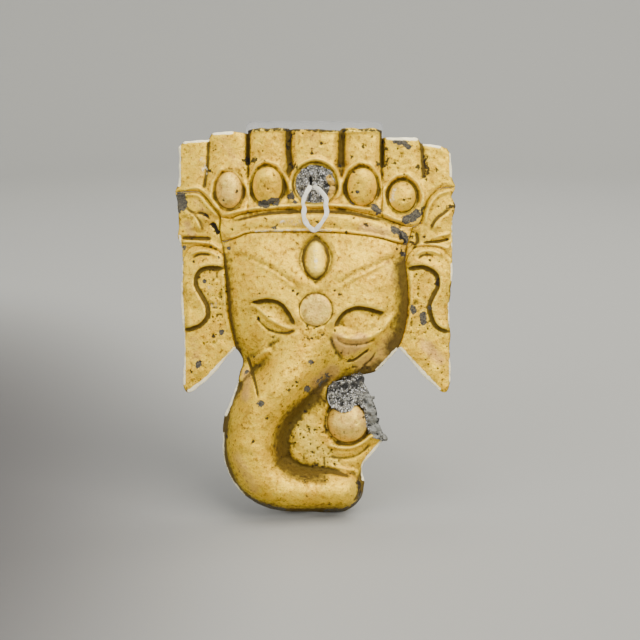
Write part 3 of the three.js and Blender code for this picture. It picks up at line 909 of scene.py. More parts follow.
@dataclass(frozen=True)
class Backdrop:
    """Matt painted board, pale warm grey."""

    name: str = "matt painted board"
    grey: str = "#93938e"
    shade: str = "#4c4a49"

    def material(self) -> bpy.types.Material:
        """Build the backdrop's nodes: plain, with one soft painted shadow at the near left."""
        p = Paint.start(self.name)
        place = add(p.tree, "SeparateXYZ", {"Vector": p.where})
        aside = p.sum(p.sum(place.outputs["X"], 0.3), 0.3, "DIVIDE")
        deep = p.sum(p.sum(place.outputs["Y"], 0.1), 0.5, "DIVIDE")
        off = p.sum(p.sum(aside, aside, "MULTIPLY"), p.sum(deep, deep, "MULTIPLY"))
        # Painted shadow: a soft dark place on the board near the left.
        p.wire("Base Color", p.mix(self.shade, self.grey, p.span(off, 0.1, 1.0)))
        p.wire("Roughness", 0.85)
        p.wire("Specular IOR Level", 0.2)
        return p.material


@dataclass
class Palette:
    """Every material of the object, made once."""

    gilding: bpy.types.Material = field(default_factory=lambda: FireGilding().material())
    rose: bpy.types.Material = field(default_factory=lambda: FireGilding(
        name="thin rose gilding", gold="#fbdc6c", warm="#e8c060", pink="#e6bc70",
        brown="#74571c").material())
    reverse: bpy.types.Material = field(default_factory=lambda: BeatenReverse().material())
    edge: bpy.types.Material = field(default_factory=lambda: CutEdge().material())
    solder: bpy.types.Material = field(default_factory=lambda: GreyFill().material())
    brass: bpy.types.Material = field(default_factory=lambda: BrassStrip().material())
    cotton: bpy.types.Material = field(default_factory=lambda: CottonTape().material())
    acrylic: bpy.types.Material = field(default_factory=lambda: ClearAcrylic().material())
    # The edge and chamfer are tinted dark and nearly opaque: painted shade standing in for how the clear
    # edge bends light.
    rim: bpy.types.Material = field(default_factory=lambda: ClearAcrylic(
        name="acrylic edge in painted shade", tint="#3f4444", body=0.8).material())
    chamfer: bpy.types.Material = field(default_factory=lambda: ClearAcrylic(
        name="acrylic chamfer in painted shade", tint="#24282a", body=0.85).material())
    silicone: bpy.types.Material = field(default_factory=lambda: ClearSilicone().material())
    board: bpy.types.Material = field(default_factory=lambda: Backdrop().material())


# ---------------------------------------------------------------- beaten sheets
@dataclass
class BeatenPiece:
    """A piece of beaten metal: a relief trimmed to an outline, with its marks."""

    node: str
    outline: np.ndarray
    ground: Heights
    features: tuple = ()
    patches: tuple[Patch, ...] = ()
    dents: Dents = Dents(())
    step: float = 0.5
    gap: float = 0.0
    thickness: float = 0.8
    edge_drop: float = 0.3
    crumple: float = 0.0
    hammer: float = 0.2

    def heights(self, x: np.ndarray, u: np.ndarray) -> tuple[np.ndarray, dict[str, np.ndarray]]:
        """The relief and the marks at each place.

        Args:
            x: Places to the right, in millimetres.
            u: Places up.

        Returns:
            The height at each place, and one array for each mark.
        """
        h = self.ground(x, u)
        marks = {mark.value: np.zeros(len(x)) for mark in Mark}
        for feature in self.features:
            rise, stain = feature.shape(x, u)
            h = h + rise
            marks["patina_and_shade"] = marks["patina_and_shade"] + stain
        h = h + self.hammer * noise(x, u, 5.0, 11) + 0.4 * self.hammer * noise(x, u, 2.1, 12)
        if self.crumple:
            h = h + self.crumple * (noise(x, u, 1.7, 21) + 0.5 * noise(x, u, 0.8, 22))
        pits = self.dents.shape(x, u)
        h = h - self.dents.depth * pits
        marks["soot"] = 0.95 * pits
        for stain in self.patches:
            key = stain.mark.value
            marks[key] = np.maximum(marks[key], stain.amount(x, u))
        eaten = marks["pitted"] * np.clip(noise(x, u, 1.5, 31) + 0.3 * noise(x, u, 0.9, 32) - 0.25, 0, 1)
        h = h - 0.55 * eaten
        marks["patina_and_shade"] = marks["patina_and_shade"] + 0.8 * eaten
        return h, marks

    def build(self) -> bpy.types.Object:
        """Make the relief's front surface, then its thickness.

        Returns:
            The piece, with marks as vertex attributes.
        """
        bm = trimmed_grid(self.outline, self.step, self.gap)
        places = np.array([v.co[:2] for v in bm.verts])
        x, u = places[:, 0], places[:, 1]
        h, marks = self.heights(x, u)
        edge = nearest(closed(self.outline), x, u).distance
        h = h - self.edge_drop * np.exp(-((edge / 0.7) ** 2))
        for vert, height in zip(bm.verts, h):
            vert.co.z = height
        bm.verts.index_update()
        edges = np.array([[v.index for v in e.verts] for e in bm.edges])
        bm.normal_update()
        facing = np.array([v.normal.z for v in bm.verts])
        scale = (0.5 / self.step) ** 2
        near = spread_out(h, edges, max(2, round(6 * scale))) - h
        broad = spread_out(h, edges, max(8, round(60 * scale))) - h
        # Painted shade with patina: recesses, the feet of slopes and steep flanks are darkened from the
        # relief itself; raised places are lightened and get painted highlight.
        marks["patina_and_shade"] += 1.5 * np.clip(near, 0, 0.35) + 0.45 * np.clip(broad, 0, 1.2)
        marks["patina_and_shade"] += 0.4 * np.clip((0.8 - facing) / 0.5, 0, 1)
        marks["patina_and_shade"] -= 0.8 * np.clip(-near, 0, 0.3)
        marks["crest"] = np.maximum(marks["crest"], 1.9 * np.clip(-near - 0.03, 0, 0.45))
        piece = finished(bm, "beaten_" + self.node)
        for name, values in marks.items():
            layer = piece.data.attributes.new(name, "FLOAT", "POINT")
            layer.data.foreach_set("value", values.astype(np.float32))
        solid = piece.modifiers.new("sheet thickness", "SOLIDIFY")
        solid.thickness = self.thickness * MM
        solid.offset = -1
        solid.material_offset = 1
        solid.material_offset_rim = 2
        return piece

    def dress(self, piece: bpy.types.Object, front: bpy.types.Material, palette: Palette,
              slot: str) -> None:
        """Give the piece its front, reverse and edge, and hand it to the plaque."""
        for material in (front, palette.reverse, palette.edge):
            piece.data.materials.append(material)
        hand_over(piece, PLAQUE, self.node)


# ---------------------------------------------------------------- seams between the sheets
SEAMS = {
    "left_temple": straight(((-40.6, 116.4), (-39.9, 110))),
    "left_face": curved(((-39.9, 110), (-39.5, 105), (-38.3, 95), (-37.5, 85), (-36, 77),
                         (-34.8, 70.4))),
    "right_temple": straight(((38.9, 115), (38.2, 108))),
    "right_face": curved(((38.2, 108), (38.9, 100), (39.4, 92), (38.6, 82), (37, 75),
                          (35.3, 70.8))),
    "band_lower": curved(((-40.6, 116.4), (-34, 117.9), (-28, 119.7), (-10, 120.1), (8, 119.8),
                          (25, 117.8), (33, 115.8), (38.9, 115))),
    "band_upper_left": curved(((-41, 126.8), (-37, 126.2), (-33, 127.6), (-29.6, 128.4))),
    "band_upper": curved(((-29.6, 128.4), (-20, 129.5), (-5, 130.1), (5, 130.1), (14, 129.6),
                          (28.2, 126.4))),
    "band_upper_right": curved(((28.2, 126.4), (36.5, 123.2), (41.2, 122.6))),
    "band_left": curved(((-41, 126.8), (-41.3, 121), (-40.6, 116.4))),
    "band_right": curved(((41.2, 122.6), (39.8, 118), (38.9, 115))),
    "left_ribbon_top": curved(((-61, 137.9), (-53, 138), (-49.6, 137.2), (-45.6, 132.8),
                               (-42.3, 129.2), (-41, 126.8))),
    "right_ribbon_top": curved(((60, 140.2), (56, 139.9), (51.8, 138.8), (48, 134.6),
                                (46, 129.5), (44.6, 124.6), (41.2, 122.6))),
    "left_ear_top": curved(((-58, 108.8), (-55.8, 112.8), (-53, 114.6), (-48, 114.4),
                            (-42.5, 112.6), (-39.9, 110))),
    "right_ear_top": curved(((58.8, 108.8), (56.4, 111.4), (54, 113.6), (50, 114.5),
                             (44, 114.4), (40.4, 111.8), (38.2, 108))),
    "mouth": curved(((19.6, 59.2), (14, 57.4), (8, 56), (5, 53), (5, 47.5), (8, 44), (15, 40),
                     (22.5, 36.5), (25, 34), (28.4, 30.4))),
}


@dataclass
class Face:
    """The face and trunk in one sheet, and what is set into it."""

    rim: float = 1.2
    flange: float = 3.2
    forehead: float = 6.6
    cheek: float = 5.0
    half_width: float = 39.6
    trunk: float = 19.0
    trunk_half: float = 14.4
    tip_half: float = 10.2
    field_height: float = 5.0
    eye_centre: tuple[float, float] = (-0.3, 108.6)
    eye_across: float = 6.6
    eye_up: float = 9.6
    eye_rise: float = 2.7
    disc_centre: tuple[float, float] = (-0.2, 87.0)
    disc_radius: float = 7.0
    disc_rise: float = 0.9
    ball_centre: tuple[float, float] = (13.3, 38.8)
    ball_radius: float = 9.3
    ball_rise: float = 5.8
    mouth_height: float = 7.4
    spine: Points = ((0, 88), (-5, 72), (-13, 57), (-23, 44), (-27, 30), (-24, 17),
                     (-13, 10.5), (2, 9.8), (10.5, 9.8))
    trunk_edge: Points = ((28.4, 30.4), (24, 25.4), (20.2, 20.6), (19.8, 17), (20.6, 12.5),
                          (19.8, 7.6), (17, 3.4), (11, 0), (0, 0), (-15, 0.8), (-24, 3.4),
                          (-33, 9.6), (-38.4, 18), (-40.5, 29), (-39.8, 40), (-37, 47.5),
                          (-34, 56), (-32, 66), (-34.8, 70.4))
    cheek_edge: Points = ((35.3, 70.8), (31, 65.8), (26, 61), (19.6, 59.2))
    mouth_edge: Points = ((28.4, 30.4), (28, 35), (26, 40), (26, 43), (23.6, 49.6),
                          (20.6, 55.4), (19.6, 59.2))

    def ground(self, x: np.ndarray, u: np.ndarray) -> np.ndarray:
        """The face's broad form: dome, trunk and the field in the trunk's curl."""
        rim = self.rim + (self.flange - self.rim) * ease(60, 76, u)
        below = np.maximum(0, 100 - u) / 46
        r = (np.abs(x / self.half_width) ** 2.6 + below**2.6) ** (1 / 2.6)
        dome = rim + (self.forehead + self.cheek * ease(122, 96, u)) * hump(r, 4)
        line = curved(self.spine)
        found = nearest(line, x, u)
        along = found.along / float(np.linalg.norm(np.diff(line, axis=0), axis=1).sum())
        half = self.trunk_half + (self.tip_half - self.trunk_half) * ease(0.55, 0.95, along)
        half = half + 6 * ease(0.32, 0.0, along)
        rise = self.trunk * (1 - 0.3 * ease(0.6, 1, along)) * (1 - 0.36 * ease(0.36, 0, along))
        trunk = self.rim + rise * hump(found.distance / half, 2.3)
        curl = self.rim + self.field_height * hump(np.hypot((x - 4) / 26, (u - 34) / 24), 4)
        return blend_max(blend_max(dome, trunk, 1.6), curl, 1.3)

    def features(self) -> tuple:
        """Brows, eyes, folds and the leaf under the ball."""
        left_lid = ((-29.5, 90.2), (-25, 91), (-20.5, 91.6), (-15, 90), (-11.5, 86), (-9, 81.5),
                    (-8, 79.7))
        right_lid = ((7, 78.5), (8.5, 82.5), (12, 86.5), (17, 88.3), (22, 87.8), (27, 86.5),
                     (30.5, 86))
        return (
            Fold(((-38, 112.5), (-30, 110.5), (-18, 105), (-8, 98), (-5.5, 95)), 0.8, 7, 0.7, 0.3),
            Fold(((8, 98), (14, 102.5), (22, 106), (31, 110), (37, 112.5)), 0.8, 7, 0.7, 0.3),
            Line(((-29, 108.2), (-17, 102), (-9, 96)), 0.5, 0.9),
            Line(((30, 107.2), (22, 103.2), (14, 99.4), (9, 96)), 0.5, 0.9),
            Fold(left_lid, 1.0, 5.5, 0.4, 0.9),
            Fold(right_lid, 1.0, 5.5, 0.4, 0.9),
            Fold(left_lid[::-1], -1.7, 6.5, 0.4),
            Fold(right_lid[::-1], -2.0, 8, 0.4),
            Line(((-28.5, 90), (-26, 88.8), (-22, 85.3), (-18, 82.1), (-13, 79.9), (-9, 79.2)),
                 1.3, 1.1, 0, 6),
            Line(((34.5, 87), (31, 82.4), (27.5, 78.4), (23.5, 75.9), (18, 74.7), (12, 75.2),
                  (8, 77.4)), 1.0, 1.2, 0, 6),
            Line(((-25.8, 84.8), (-22.8, 80.7), (-18.5, 77.8), (-13, 77.2), (-8.5, 78.6)), -0.7, 0.7, 0.5),
            Line(((7.5, 76.4), (11, 73), (16, 72.2), (21, 72.8), (26, 75)), -0.5, 0.7, 0.3),
            Fold(((-5, 78.5), (-10, 77), (-20, 71), (-29.5, 66)), 0.9, 5, 0.6, 0.1),
            Line(((5.5, 76.5), (7, 72), (9.5, 68), (12, 64.8)), -0.8, 1.2, 0.5),
            Line(((12, 64.8), (16, 65.6), (20, 68.5), (22.8, 70.6)), -0.8, 0.55, 1.3),
            Line(((19, 62.5), (23, 65.5), (26, 70)), -0.5, 0.6, 0.6),
            Line(((-29.6, 67), (-27.8, 61), (-25.6, 55), (-24.2, 49.5)), -0.9, 0.5, 1.1),
            Line(((-31, 63), (-30, 55), (-31, 48)), 0.8, 2.4),
            Line(((-19, 71.5), (-23.2, 67.9), (-28.5, 61.5), (-34, 54.5)), 2.2, 3.0, 0, 4),
            Moat(self.ball_centre, self.ball_radius, self.ball_radius, 1.3, 1.3),
            Moat(self.disc_centre, self.disc_radius, self.disc_radius, 0.5, 0.5, stain=0.9),
            Moat(self.eye_centre, self.eye_across, self.eye_up, 1.3, 1.3, True, 0.6),
            Seat(ring(self.ball_centre, self.ball_radius, self.ball_radius)),
            Seat(ring(self.disc_centre, self.disc_radius, self.disc_radius), 1.5),
            Seat(almond(self.eye_centre, self.eye_across, self.eye_up), 2.5),
            Line(((4.5, 29.5), (9, 28.3), (15, 28.2), (20, 30.4), (24, 33), (27.3, 30.9)), 1.5, 0.9),
            Line(((5, 25), (8, 23.7), (14, 23.6), (19, 25.5), (24, 30)), -0.7, 1.0, 0.4),
            Line(((5, 20.3), (11, 19.2), (16.5, 18), (18.6, 15)), 1.3, 0.8),
            Line(((-9, 21), (-4, 19), (3, 18.2), (9, 17.2), (15, 15.6)), -0.9, 0.8, 0.7),
            Line(((18, 14), (18.2, 9), (16, 5)), -0.8, 1.0, 1.0),
        )

    def patches(self) -> tuple[Patch, ...]:
        """Where the face's gilding is lost, thin, crusted or worn, and where shade and highlight are
        painted.
        """
        return (
            Patch(Mark.BLUSH, ((9, 74), (13, 71), (19, 74)), 4.5),
            Patch(Mark.BLUSH, ((20, 64), (27, 66), (33, 74)), 6, 0.8),
            Patch(Mark.BLUSH, ((-30, 60), (-30, 50)), 3, 0.8),
            Patch(Mark.BLUSH, ((-33, 25), (-26, 12)), 4, 0.6),
            Patch(Mark.BLUSH, ((30, 106), (35, 98)), 4, 0.5),
            Patch(Mark.GREY, ((-2.5, 65),), 1.2), Patch(Mark.GREY, ((-4, 53.5),), 1.6),
            Patch(Mark.GREY, ((-23.2, 47.6),), 1.5), Patch(Mark.GREY, ((-30, 60.5),), 0.9),
            Patch(Mark.GREY, ((1, 56), (5, 59)), 1.6, 0.6), Patch(Mark.BLUSH, ((0, 55), (7, 61)), 4),
            # Painted shade with patina: dark bands along the trunk's inner crease, its left wall and lower
            # edge, the temples and under the cheek.
            Patch(Mark.PATINA_AND_SHADE, ((3, 49), (-2, 47), (-8.6, 44), (-13.1, 37), (-14.8, 31.4),
                                (-14.2, 24.5), (-11.4, 20), (-6, 17.4), (1, 16.6)), 4.6, 0.85),
            Patch(Mark.PATINA_AND_SHADE, ((-39, 40), (-40, 28), (-36, 15), (-28, 6), (-14, 1.5)), 3.4, 0.6),
            Patch(Mark.PATINA_AND_SHADE, ((-12, 2.4), (0, 1.6), (14, 3)), 3.4, 0.5),
            Patch(Mark.PATINA_AND_SHADE, ((37, 106), (38.2, 92), (36.8, 80), (33, 71)), 5.4, 1.1),
            Patch(Mark.PATINA_AND_SHADE, ((24, 110), (33, 104), (34, 94)), 7, 0.22),
            Patch(Mark.PATINA_AND_SHADE, ((-38, 108), (-38, 95), (-36, 82), (-33, 71)), 3.4, 0.55),
            # Painted highlight: paler gold over the field in the trunk's curl.
            Patch(Mark.CREST_HIGHLIGHT, ((-5, 38), (-3, 29), (6, 23)), 6, 0.6),
            Patch(Mark.PATINA_AND_SHADE, ((27, 64), (20, 60.4), (12, 58.6)), 3, 0.8),
            Patch(Mark.PATINA_AND_SHADE, ((-29, 67), (-24, 69), (-17, 74)), 1.6, 0.4),
            Patch(Mark.GREY, ((-14, 1.6), (-22, 3.4), (-28, 6.6)), 1.3, 0.66),
            Patch(Mark.GREY, ((4, 1), (11, 0.8), (17, 4), (19, 8)), 1.3, 0.7),
            Patch(Mark.GREY, ((-35, 54), (-37.5, 46)), 1.0, 0.9),
            Patch(Mark.GREY, ((37.5, 111),), 1.2), Patch(Mark.GREY, ((-37.5, 113.5),), 1.0),
            Patch(Mark.SOOT, ((17.6, 13), (18.6, 9)), 1.2, 0.7),
            Patch(Mark.SOOT, ((35, 113.5), (38, 110)), 1.3, 0.6),
            Patch(Mark.SHINE, ((-40, 34), (-40, 24), (-36.8, 15), (-31, 8)), 0.8, 0.75),
            Patch(Mark.SHINE, ((-34.3, 56), (-37, 47.5), (-39, 42)), 0.9, 0.9),
            Patch(Mark.SHINE, ((27.9, 30.2), (20.4, 20.8), (20.2, 14)), 0.9, 0.9),
            Patch(Mark.SHINE, ((26, 61.2), (34.5, 70.2)), 0.7, 0.9),
            Patch(Mark.PITTED, ((-6, 34), (-3, 27), (4, 22)), 7),
            Patch(Mark.PITTED, ((0, 46), (6, 38), (4, 28)), 5, 0.9),
            Patch(Mark.PITTED, ((-2, 79), (0, 74)), 4, 0.7), Patch(Mark.PITTED, ((0, 70), (-4, 60)), 9, 0.5),
            Patch(Mark.PITTED, ((-10, 55), (-4, 50)), 4, 0.6),
            Patch(Mark.PITTED, ((9, 68), (20, 63)), 4, 0.7),
        )

    def dents(self) -> Dents:
        """The face's larger pits."""
        return Dents(((-24, 94), (-10, 95.2), (-8, 94), (-9, 96), (8, 95.2), (9.6, 93.8), (14, 90),
                      (27, 79), (0, 79.6), (-4, 79.9), (-2, 75), (1, 74.6), (-4, 75.3), (2.4, 76.4),
                      (-27, 67), (7.8, 78.3), (-5, 14.5), (0, 20.2), (0.6, 21), (-10, 55), (-11.5, 53.4),
                      (-8.5, 56.5), (-13, 103), (-20, 84), (-18, 75.5), (-24.5, 83.4), (-5, 43.5),
                      (-7, 36), (-1, 35.5), (-3, 35.8), (2.5, 34.4), (-2.6, 29.6), (-2, 26),
                      (3.2, 26.6), (-38.4, 33), (-21, 41.6), (-26.4, 31.6), (-14, 6), (-4, 8.4)))

    def sheet(self) -> BeatenPiece:
        """The one sheet of the face and trunk."""
        outline = chain(SEAMS["band_lower"], SEAMS["right_temple"], SEAMS["right_face"],
                        ragged(curved(self.cheek_edge)), SEAMS["mouth"],
                        ragged(curved(self.trunk_edge), 0.22), SEAMS["left_face"][::-1],
                        SEAMS["left_temple"][::-1])
        return BeatenPiece("face_trunk_sheet", outline, self.ground, self.features(), self.patches(),
                           self.dents(), step=0.5)

    def third_eye(self) -> BeatenPiece:
        """The pointed boss on the forehead."""
        def ground(x: np.ndarray, u: np.ndarray) -> np.ndarray:
            """A keeled boss that sinks below the forehead at its edge."""
            aside = np.abs(x - self.eye_centre[0]) / (0.86 * self.eye_across)
            r = np.sqrt(aside**2 + ((u - self.eye_centre[1]) / (0.97 * self.eye_up)) ** 4)
            return self.ground(x, u) - 1.2 + (self.eye_rise + 1.2) * hump(r, 1.8)

        outline = almond(self.eye_centre, self.eye_across, self.eye_up)
        # The boss's pale keel is painted highlight; the dark ring inside its edge is patina with painted
        # shade.
        return BeatenPiece("third_eye_boss", outline, ground, step=0.3, hammer=0.05,
                           patches=(Patch(Mark.PATINA_AND_SHADE, closed(almond(self.eye_centre, 5.6, 8.4)), 1.5, 0.8),
                                   Patch(Mark.CREST_HIGHLIGHT, ((-0.4, 113.6), (-0.2, 103)), 4),
                                   Patch(Mark.SHINE, ((-0.4, 112), (-0.2, 104)), 1.2, 0.5)))

    def brow_disc(self) -> BeatenPiece:
        """The flat round mark between the eyes."""
        def ground(x: np.ndarray, u: np.ndarray) -> np.ndarray:
            """A low flat-topped disc."""
            r = np.hypot(x - self.disc_centre[0], u - self.disc_centre[1]) / self.disc_radius
            return self.ground(x, u) - 0.3 + self.disc_rise * hump(r, 7)

        outline = ring(self.disc_centre, self.disc_radius, self.disc_radius)
        return BeatenPiece("brow_disc", outline, ground, step=0.35, hammer=0.06,
                           patches=(Patch(Mark.BLUSH, ((-0.2, 87),), 7, 0.55),))

    def ball(self) -> BeatenPiece:
        """The round sweet in the trunk's curl."""
        def ground(x: np.ndarray, u: np.ndarray) -> np.ndarray:
            """A ball sunk by a third."""
            r = np.hypot(x - self.ball_centre[0], u - self.ball_centre[1]) / self.ball_radius
            return self.field_height - 0.4 + self.ball_rise * hump(r, 2.8)

        outline = ring(self.ball_centre, self.ball_radius, self.ball_radius)
        return BeatenPiece("sweet_ball", outline, ground, step=0.4, hammer=0.1,
                           patches=(Patch(Mark.BLUSH, ((13.3, 38.8),), 8, 0.6),
                                   Patch(Mark.BLUSH, ((19, 44), (21, 38)), 3, 0.9)),
                           dents=Dents(((19.4, 44.6), (20.4, 41), (11.6, 35), (17, 38.6))))

    def mouth(self) -> BeatenPiece:
        """The crumbled grey fill of the mouth, which laps over the ball's top and side."""
        def ground(x: np.ndarray, u: np.ndarray) -> np.ndarray:
            """A rough lump, higher over the ball."""
            r = np.hypot(x - self.ball_centre[0], u - self.ball_centre[1]) / self.ball_radius
            lump = self.mouth_height - 1.5 * ease(24, 28, x) - 1.5 * ease(44, 34, u)
            return np.maximum(lump, self.field_height + 0.4 + self.ball_rise * hump(r, 2.8))

        lower = straight(((28.4, 30.4), (25.6, 31.8), (22.6, 33.8), (21.4, 37), (21, 41),
                          (20.2, 44.6), (18.6, 47), (16.2, 46), (14.4, 44.2), (11, 43.2),
                          (8.2, 44.1), (6, 45.6), (5, 50), (5.2, 54), (8, 56), (14, 57.4),
                          (19.6, 59.2)))
        outline = chain(ragged(lower, 0.25), ragged(curved(self.mouth_edge), 0.35)[::-1])
        # The darker places along the lump's upper edge and in one dip are patina with painted shade.
        return BeatenPiece("mouth_fill", outline, ground, step=0.3, thickness=2.6, crumple=0.7,
                           patches=(Patch(Mark.PATINA_AND_SHADE, ((7, 54), (13, 54.6), (20, 57)), 1.9, 0.75),
                                   Patch(Mark.PATINA_AND_SHADE, ((11, 51), (14, 52)), 1.2, 0.7),
                                   Patch(Mark.GREY, ((22.8, 50), (24.2, 44), (25, 38), (26.6, 33)),
                                         2.6)))

    def make(self, palette: Palette) -> None:
        """Build and dress every piece of the face."""
        sheet = self.sheet()
        sheet.dress(sheet.build(), palette.gilding, palette, "gilding")
        boss = self.third_eye()
        boss.dress(boss.build(), palette.gilding, palette, "gilding")
        for part in (self.brow_disc(), self.ball()):
            part.dress(part.build(), palette.rose, palette, "pink_gilding")
        mouth = self.mouth()
        piece = mouth.build()
        for _ in range(3):
            piece.data.materials.append(palette.solder)
        hand_over(piece, PLAQUE, mouth.node)


@dataclass(frozen=True)
class Jewel:
    """A round jewel of the crown and the crest of the petal about it."""

    centre: tuple[float, float]
    across: float
    up: float
    rise: float
    crest: Points


@dataclass
class Crown:
    """The crown in three sheets, the brow band, four jewels and the bedding of the fifth."""

    height: float = 4.4
    flange: float = 3.2
    ear_drop: float = 1.4
    band_rise: float = 6.4
    top: float = 165.1
    grooves: tuple[float, ...] = (-46.5, -29.6, -12.0, 10.7, 28.2, 45.3)
    tabs: tuple[float, ...] = (0.0, 0.9, 2.4, 3.0, 2.4, 0.9, 0.0)
    crest_centre: tuple[float, float] = (-0.6, 141.0)
    crest_across: float = 9.2
    crest_up: float = 8.8
    jewels: dict[str, Jewel] = field(default_factory=lambda: {
        "jewel_left_outer": Jewel((-37.6, 138.6), 6.3, 8.4, 4.0, (
            (-46, 133), (-44.5, 142), (-41, 147.2), (-36, 147), (-32.5, 143.5), (-29.8, 139.5),
            (-29, 134.5), (-31, 130))),
        "jewel_left_inner": Jewel((-21.1, 140.3), 7.2, 8.7, 4.3, (
            (-29.6, 134), (-29.4, 142), (-26, 148.4), (-22.3, 150.8), (-17, 149), (-13.2, 144),
            (-11.5, 139.5), (-10.6, 134.6))),
        "jewel_right_inner": Jewel((19.6, 139.8), 7.2, 8.7, 4.3, (
            (10.4, 134), (10.6, 140.5), (13, 147), (18, 150.2), (23, 149), (27, 144.4),
            (28.6, 138.6), (27.6, 133))),
        "jewel_right_outer": Jewel((36.9, 135.8), 6.5, 7.2, 4.0, (
            (29.4, 131), (29, 138), (31, 142), (34.5, 144.8), (39, 145.2), (44, 141.2),
            (45.9, 136), (45, 130.6))),
    })

    def ground(self, x: np.ndarray, u: np.ndarray) -> np.ndarray:
        """The crown's tabs, proudest in the middle, rising towards the band."""
        walls = (-70.0, *self.grooves, 70.0)
        h = self.height - self.ear_drop * ease(51, 60, np.abs(x))
        upper = ease(138, 148, u)
        for low, high, rise in zip(walls, walls[1:], self.tabs):
            inner = ease(-0.5, 4.2, x - low) * ease(-0.5, 4.2, high - x)
            middle, half = (low + high) / 2, (high - low) / 2
            bulge = 0.7 * hump((x - middle) / half) if abs(middle) < 40 else 0.0
            h = h + (rise * (0.45 + 0.55 * upper) + bulge * upper) * inner
        h = h + 1.9 * ease(137, 130, u) * hump(x / 52)
        return h

    def grooves_and_petals(self) -> tuple:
        """The grooves between the tabs and the petals' crests round the jewels."""
        found: list = [
            Line(((-46.5, 160.4), (-46.8, 154), (-47.3, 147), (-48.6, 139)), -0.9, 1.1, 0.4, 2),
            Line(((-29.6, 166), (-29.6, 156), (-29.8, 149)), -1.1, 1.1, 0.6, 2),
            Line(((-12, 166), (-12, 156), (-11, 149), (-11, 146)), -1.1, 1.3, 0.5, 2),
            Line(((11, 166), (10.8, 156), (10.2, 148)), -1.1, 1.7, 0.4, 2),
            Line(((28.2, 166), (28.4, 156), (28.4, 148)), -1.2, 1.1, 0.6, 2),
            Line(((45.3, 160), (45.8, 152), (46.4, 143)), -0.9, 1.2, 0.6, 2),
            Line(((-59, 137.9), (-53, 139.6), (-49, 138.6), (-44.6, 133.8), (-41.4, 129.6)), 0.8, 0.8),
            Line(((-40, 128), (-30, 130), (-20, 131.2), (-8, 131.9), (5, 132), (15, 131.4), (26, 129.4),
                  (34, 126), (40, 124.6)), 1.3, 0.9),
            Moat(self.crest_centre, self.crest_across, self.crest_up, 0.9, 1.0, stain=0.7),
            Seat(ring(self.crest_centre, self.crest_across, self.crest_up), 4.0),
            Line(((-9.5, 134), (-11.2, 141), (-8.6, 147.6), (-0.6, 151.4), (7.6, 147.6), (10, 141),
                  (8.6, 134)), 1.5, 1.0),
            Line(((-29, 163.8), (-12, 164.2), (10, 163.4), (28, 163.6)), 0.5, 0.7, 0.3),
        ]
        for jewel in self.jewels.values():
            found.append(Moat(jewel.centre, jewel.across, jewel.up, 1.0, 1.1, stain=0.5))
            found.append(Seat(ring(jewel.centre, jewel.across, jewel.up), 1.5))
            found.append(Line(jewel.crest, 1.15, 0.95, 0.0, 4, True))
        return tuple(found)

    def patches(self) -> tuple[Patch, ...]:
        """Where the crown's gilding is lost, crusted or worn, and where highlight is painted."""
        return (
            Patch(Mark.SOOT, ((-28.6, 164.2), (-12, 164.6), (-2, 163.9), (8, 163.8)), 0.9, 0.85),
            Patch(Mark.SOOT, ((-11.6, 163), (-12.4, 157)), 1.2, 0.65),
            Patch(Mark.SOOT, ((-10.5, 149.8), (-8.8, 147.6)), 1.4, 0.8),
            Patch(Mark.SOOT, ((11.6, 164.2), (27.6, 163.8)), 0.7, 0.8),
            Patch(Mark.SOOT, ((-31, 152), (-28, 150.5), (-26.4, 151.4)), 1.4, 0.85),
            Patch(Mark.SOOT, ((29, 160), (29.8, 153), (29, 149)), 1.3, 0.5),
            Patch(Mark.SOOT, ((46.6, 154), (47.6, 148), (46.8, 142.8)), 1.4, 0.55),
            Patch(Mark.SOOT, ((43.6, 148.4),), 1.3), Patch(Mark.SOOT, ((10.4, 149.2),), 1.1),
            Patch(Mark.SOOT, ((46, 131), (45.6, 128.8)), 1.1, 0.9),
            Patch(Mark.SOOT, ((26.4, 150),), 1.0),
            Patch(Mark.GREY, ((34, 159.4), (38, 158.6), (39.4, 157)), 1.3),
            Patch(Mark.GREY, ((-23.6, 132.2), (-21, 131.9)), 1.4), Patch(Mark.GREY, ((-17.5, 133.2),), 1.8),
            Patch(Mark.GREY, ((24.4, 131.4), (26.4, 129.4)), 1.6, 0.9),
            Patch(Mark.GREY, ((38.6, 125.4), (41.6, 127.2), (43.6, 128.6)), 2.0),
            Patch(Mark.GREY, ((-10.8, 135.8),), 1.7), Patch(Mark.GREY, ((-9.2, 133.4),), 1.0),
            Patch(Mark.GREY, ((15.4, 133.4),), 1.1), Patch(Mark.GREY, ((-58.2, 135),), 2.5),
            Patch(Mark.SHINE, ((-57, 159.6), (-46.8, 160.2)), 0.9, 0.9),
            Patch(Mark.SHINE, ((-44, 163.1), (-36.6, 163.3)), 1.0),
            Patch(Mark.SHINE, ((31, 161), (43, 160.6)), 1.1),
            Patch(Mark.SHINE, ((46.6, 158.4), (53, 157.4)), 0.9, 0.9),
            Patch(Mark.SHINE, ((-59.3, 158), (-59.3, 141)), 0.8, 0.95),
            Patch(Mark.SHINE, ((58.1, 154.6), (58.2, 145)), 0.9, 0.95),
            Patch(Mark.SHINE, ((-49, 152), (-48, 146)), 1.6, 0.5),
            Patch(Mark.PITTED, ((33, 156), (36, 148)), 5, 0.7),
            Patch(Mark.PITTED, ((-30, 150), (-28, 146)), 3, 0.6),
            Patch(Mark.BLUSH, ((-40, 160), (-34, 150)), 4, 0.5),
            Patch(Mark.BLUSH, ((-2, 160), (2, 152)), 6, 0.45),
            Patch(Mark.BLUSH, ((-54, 156), (-50, 146)), 3, 0.4),
        )

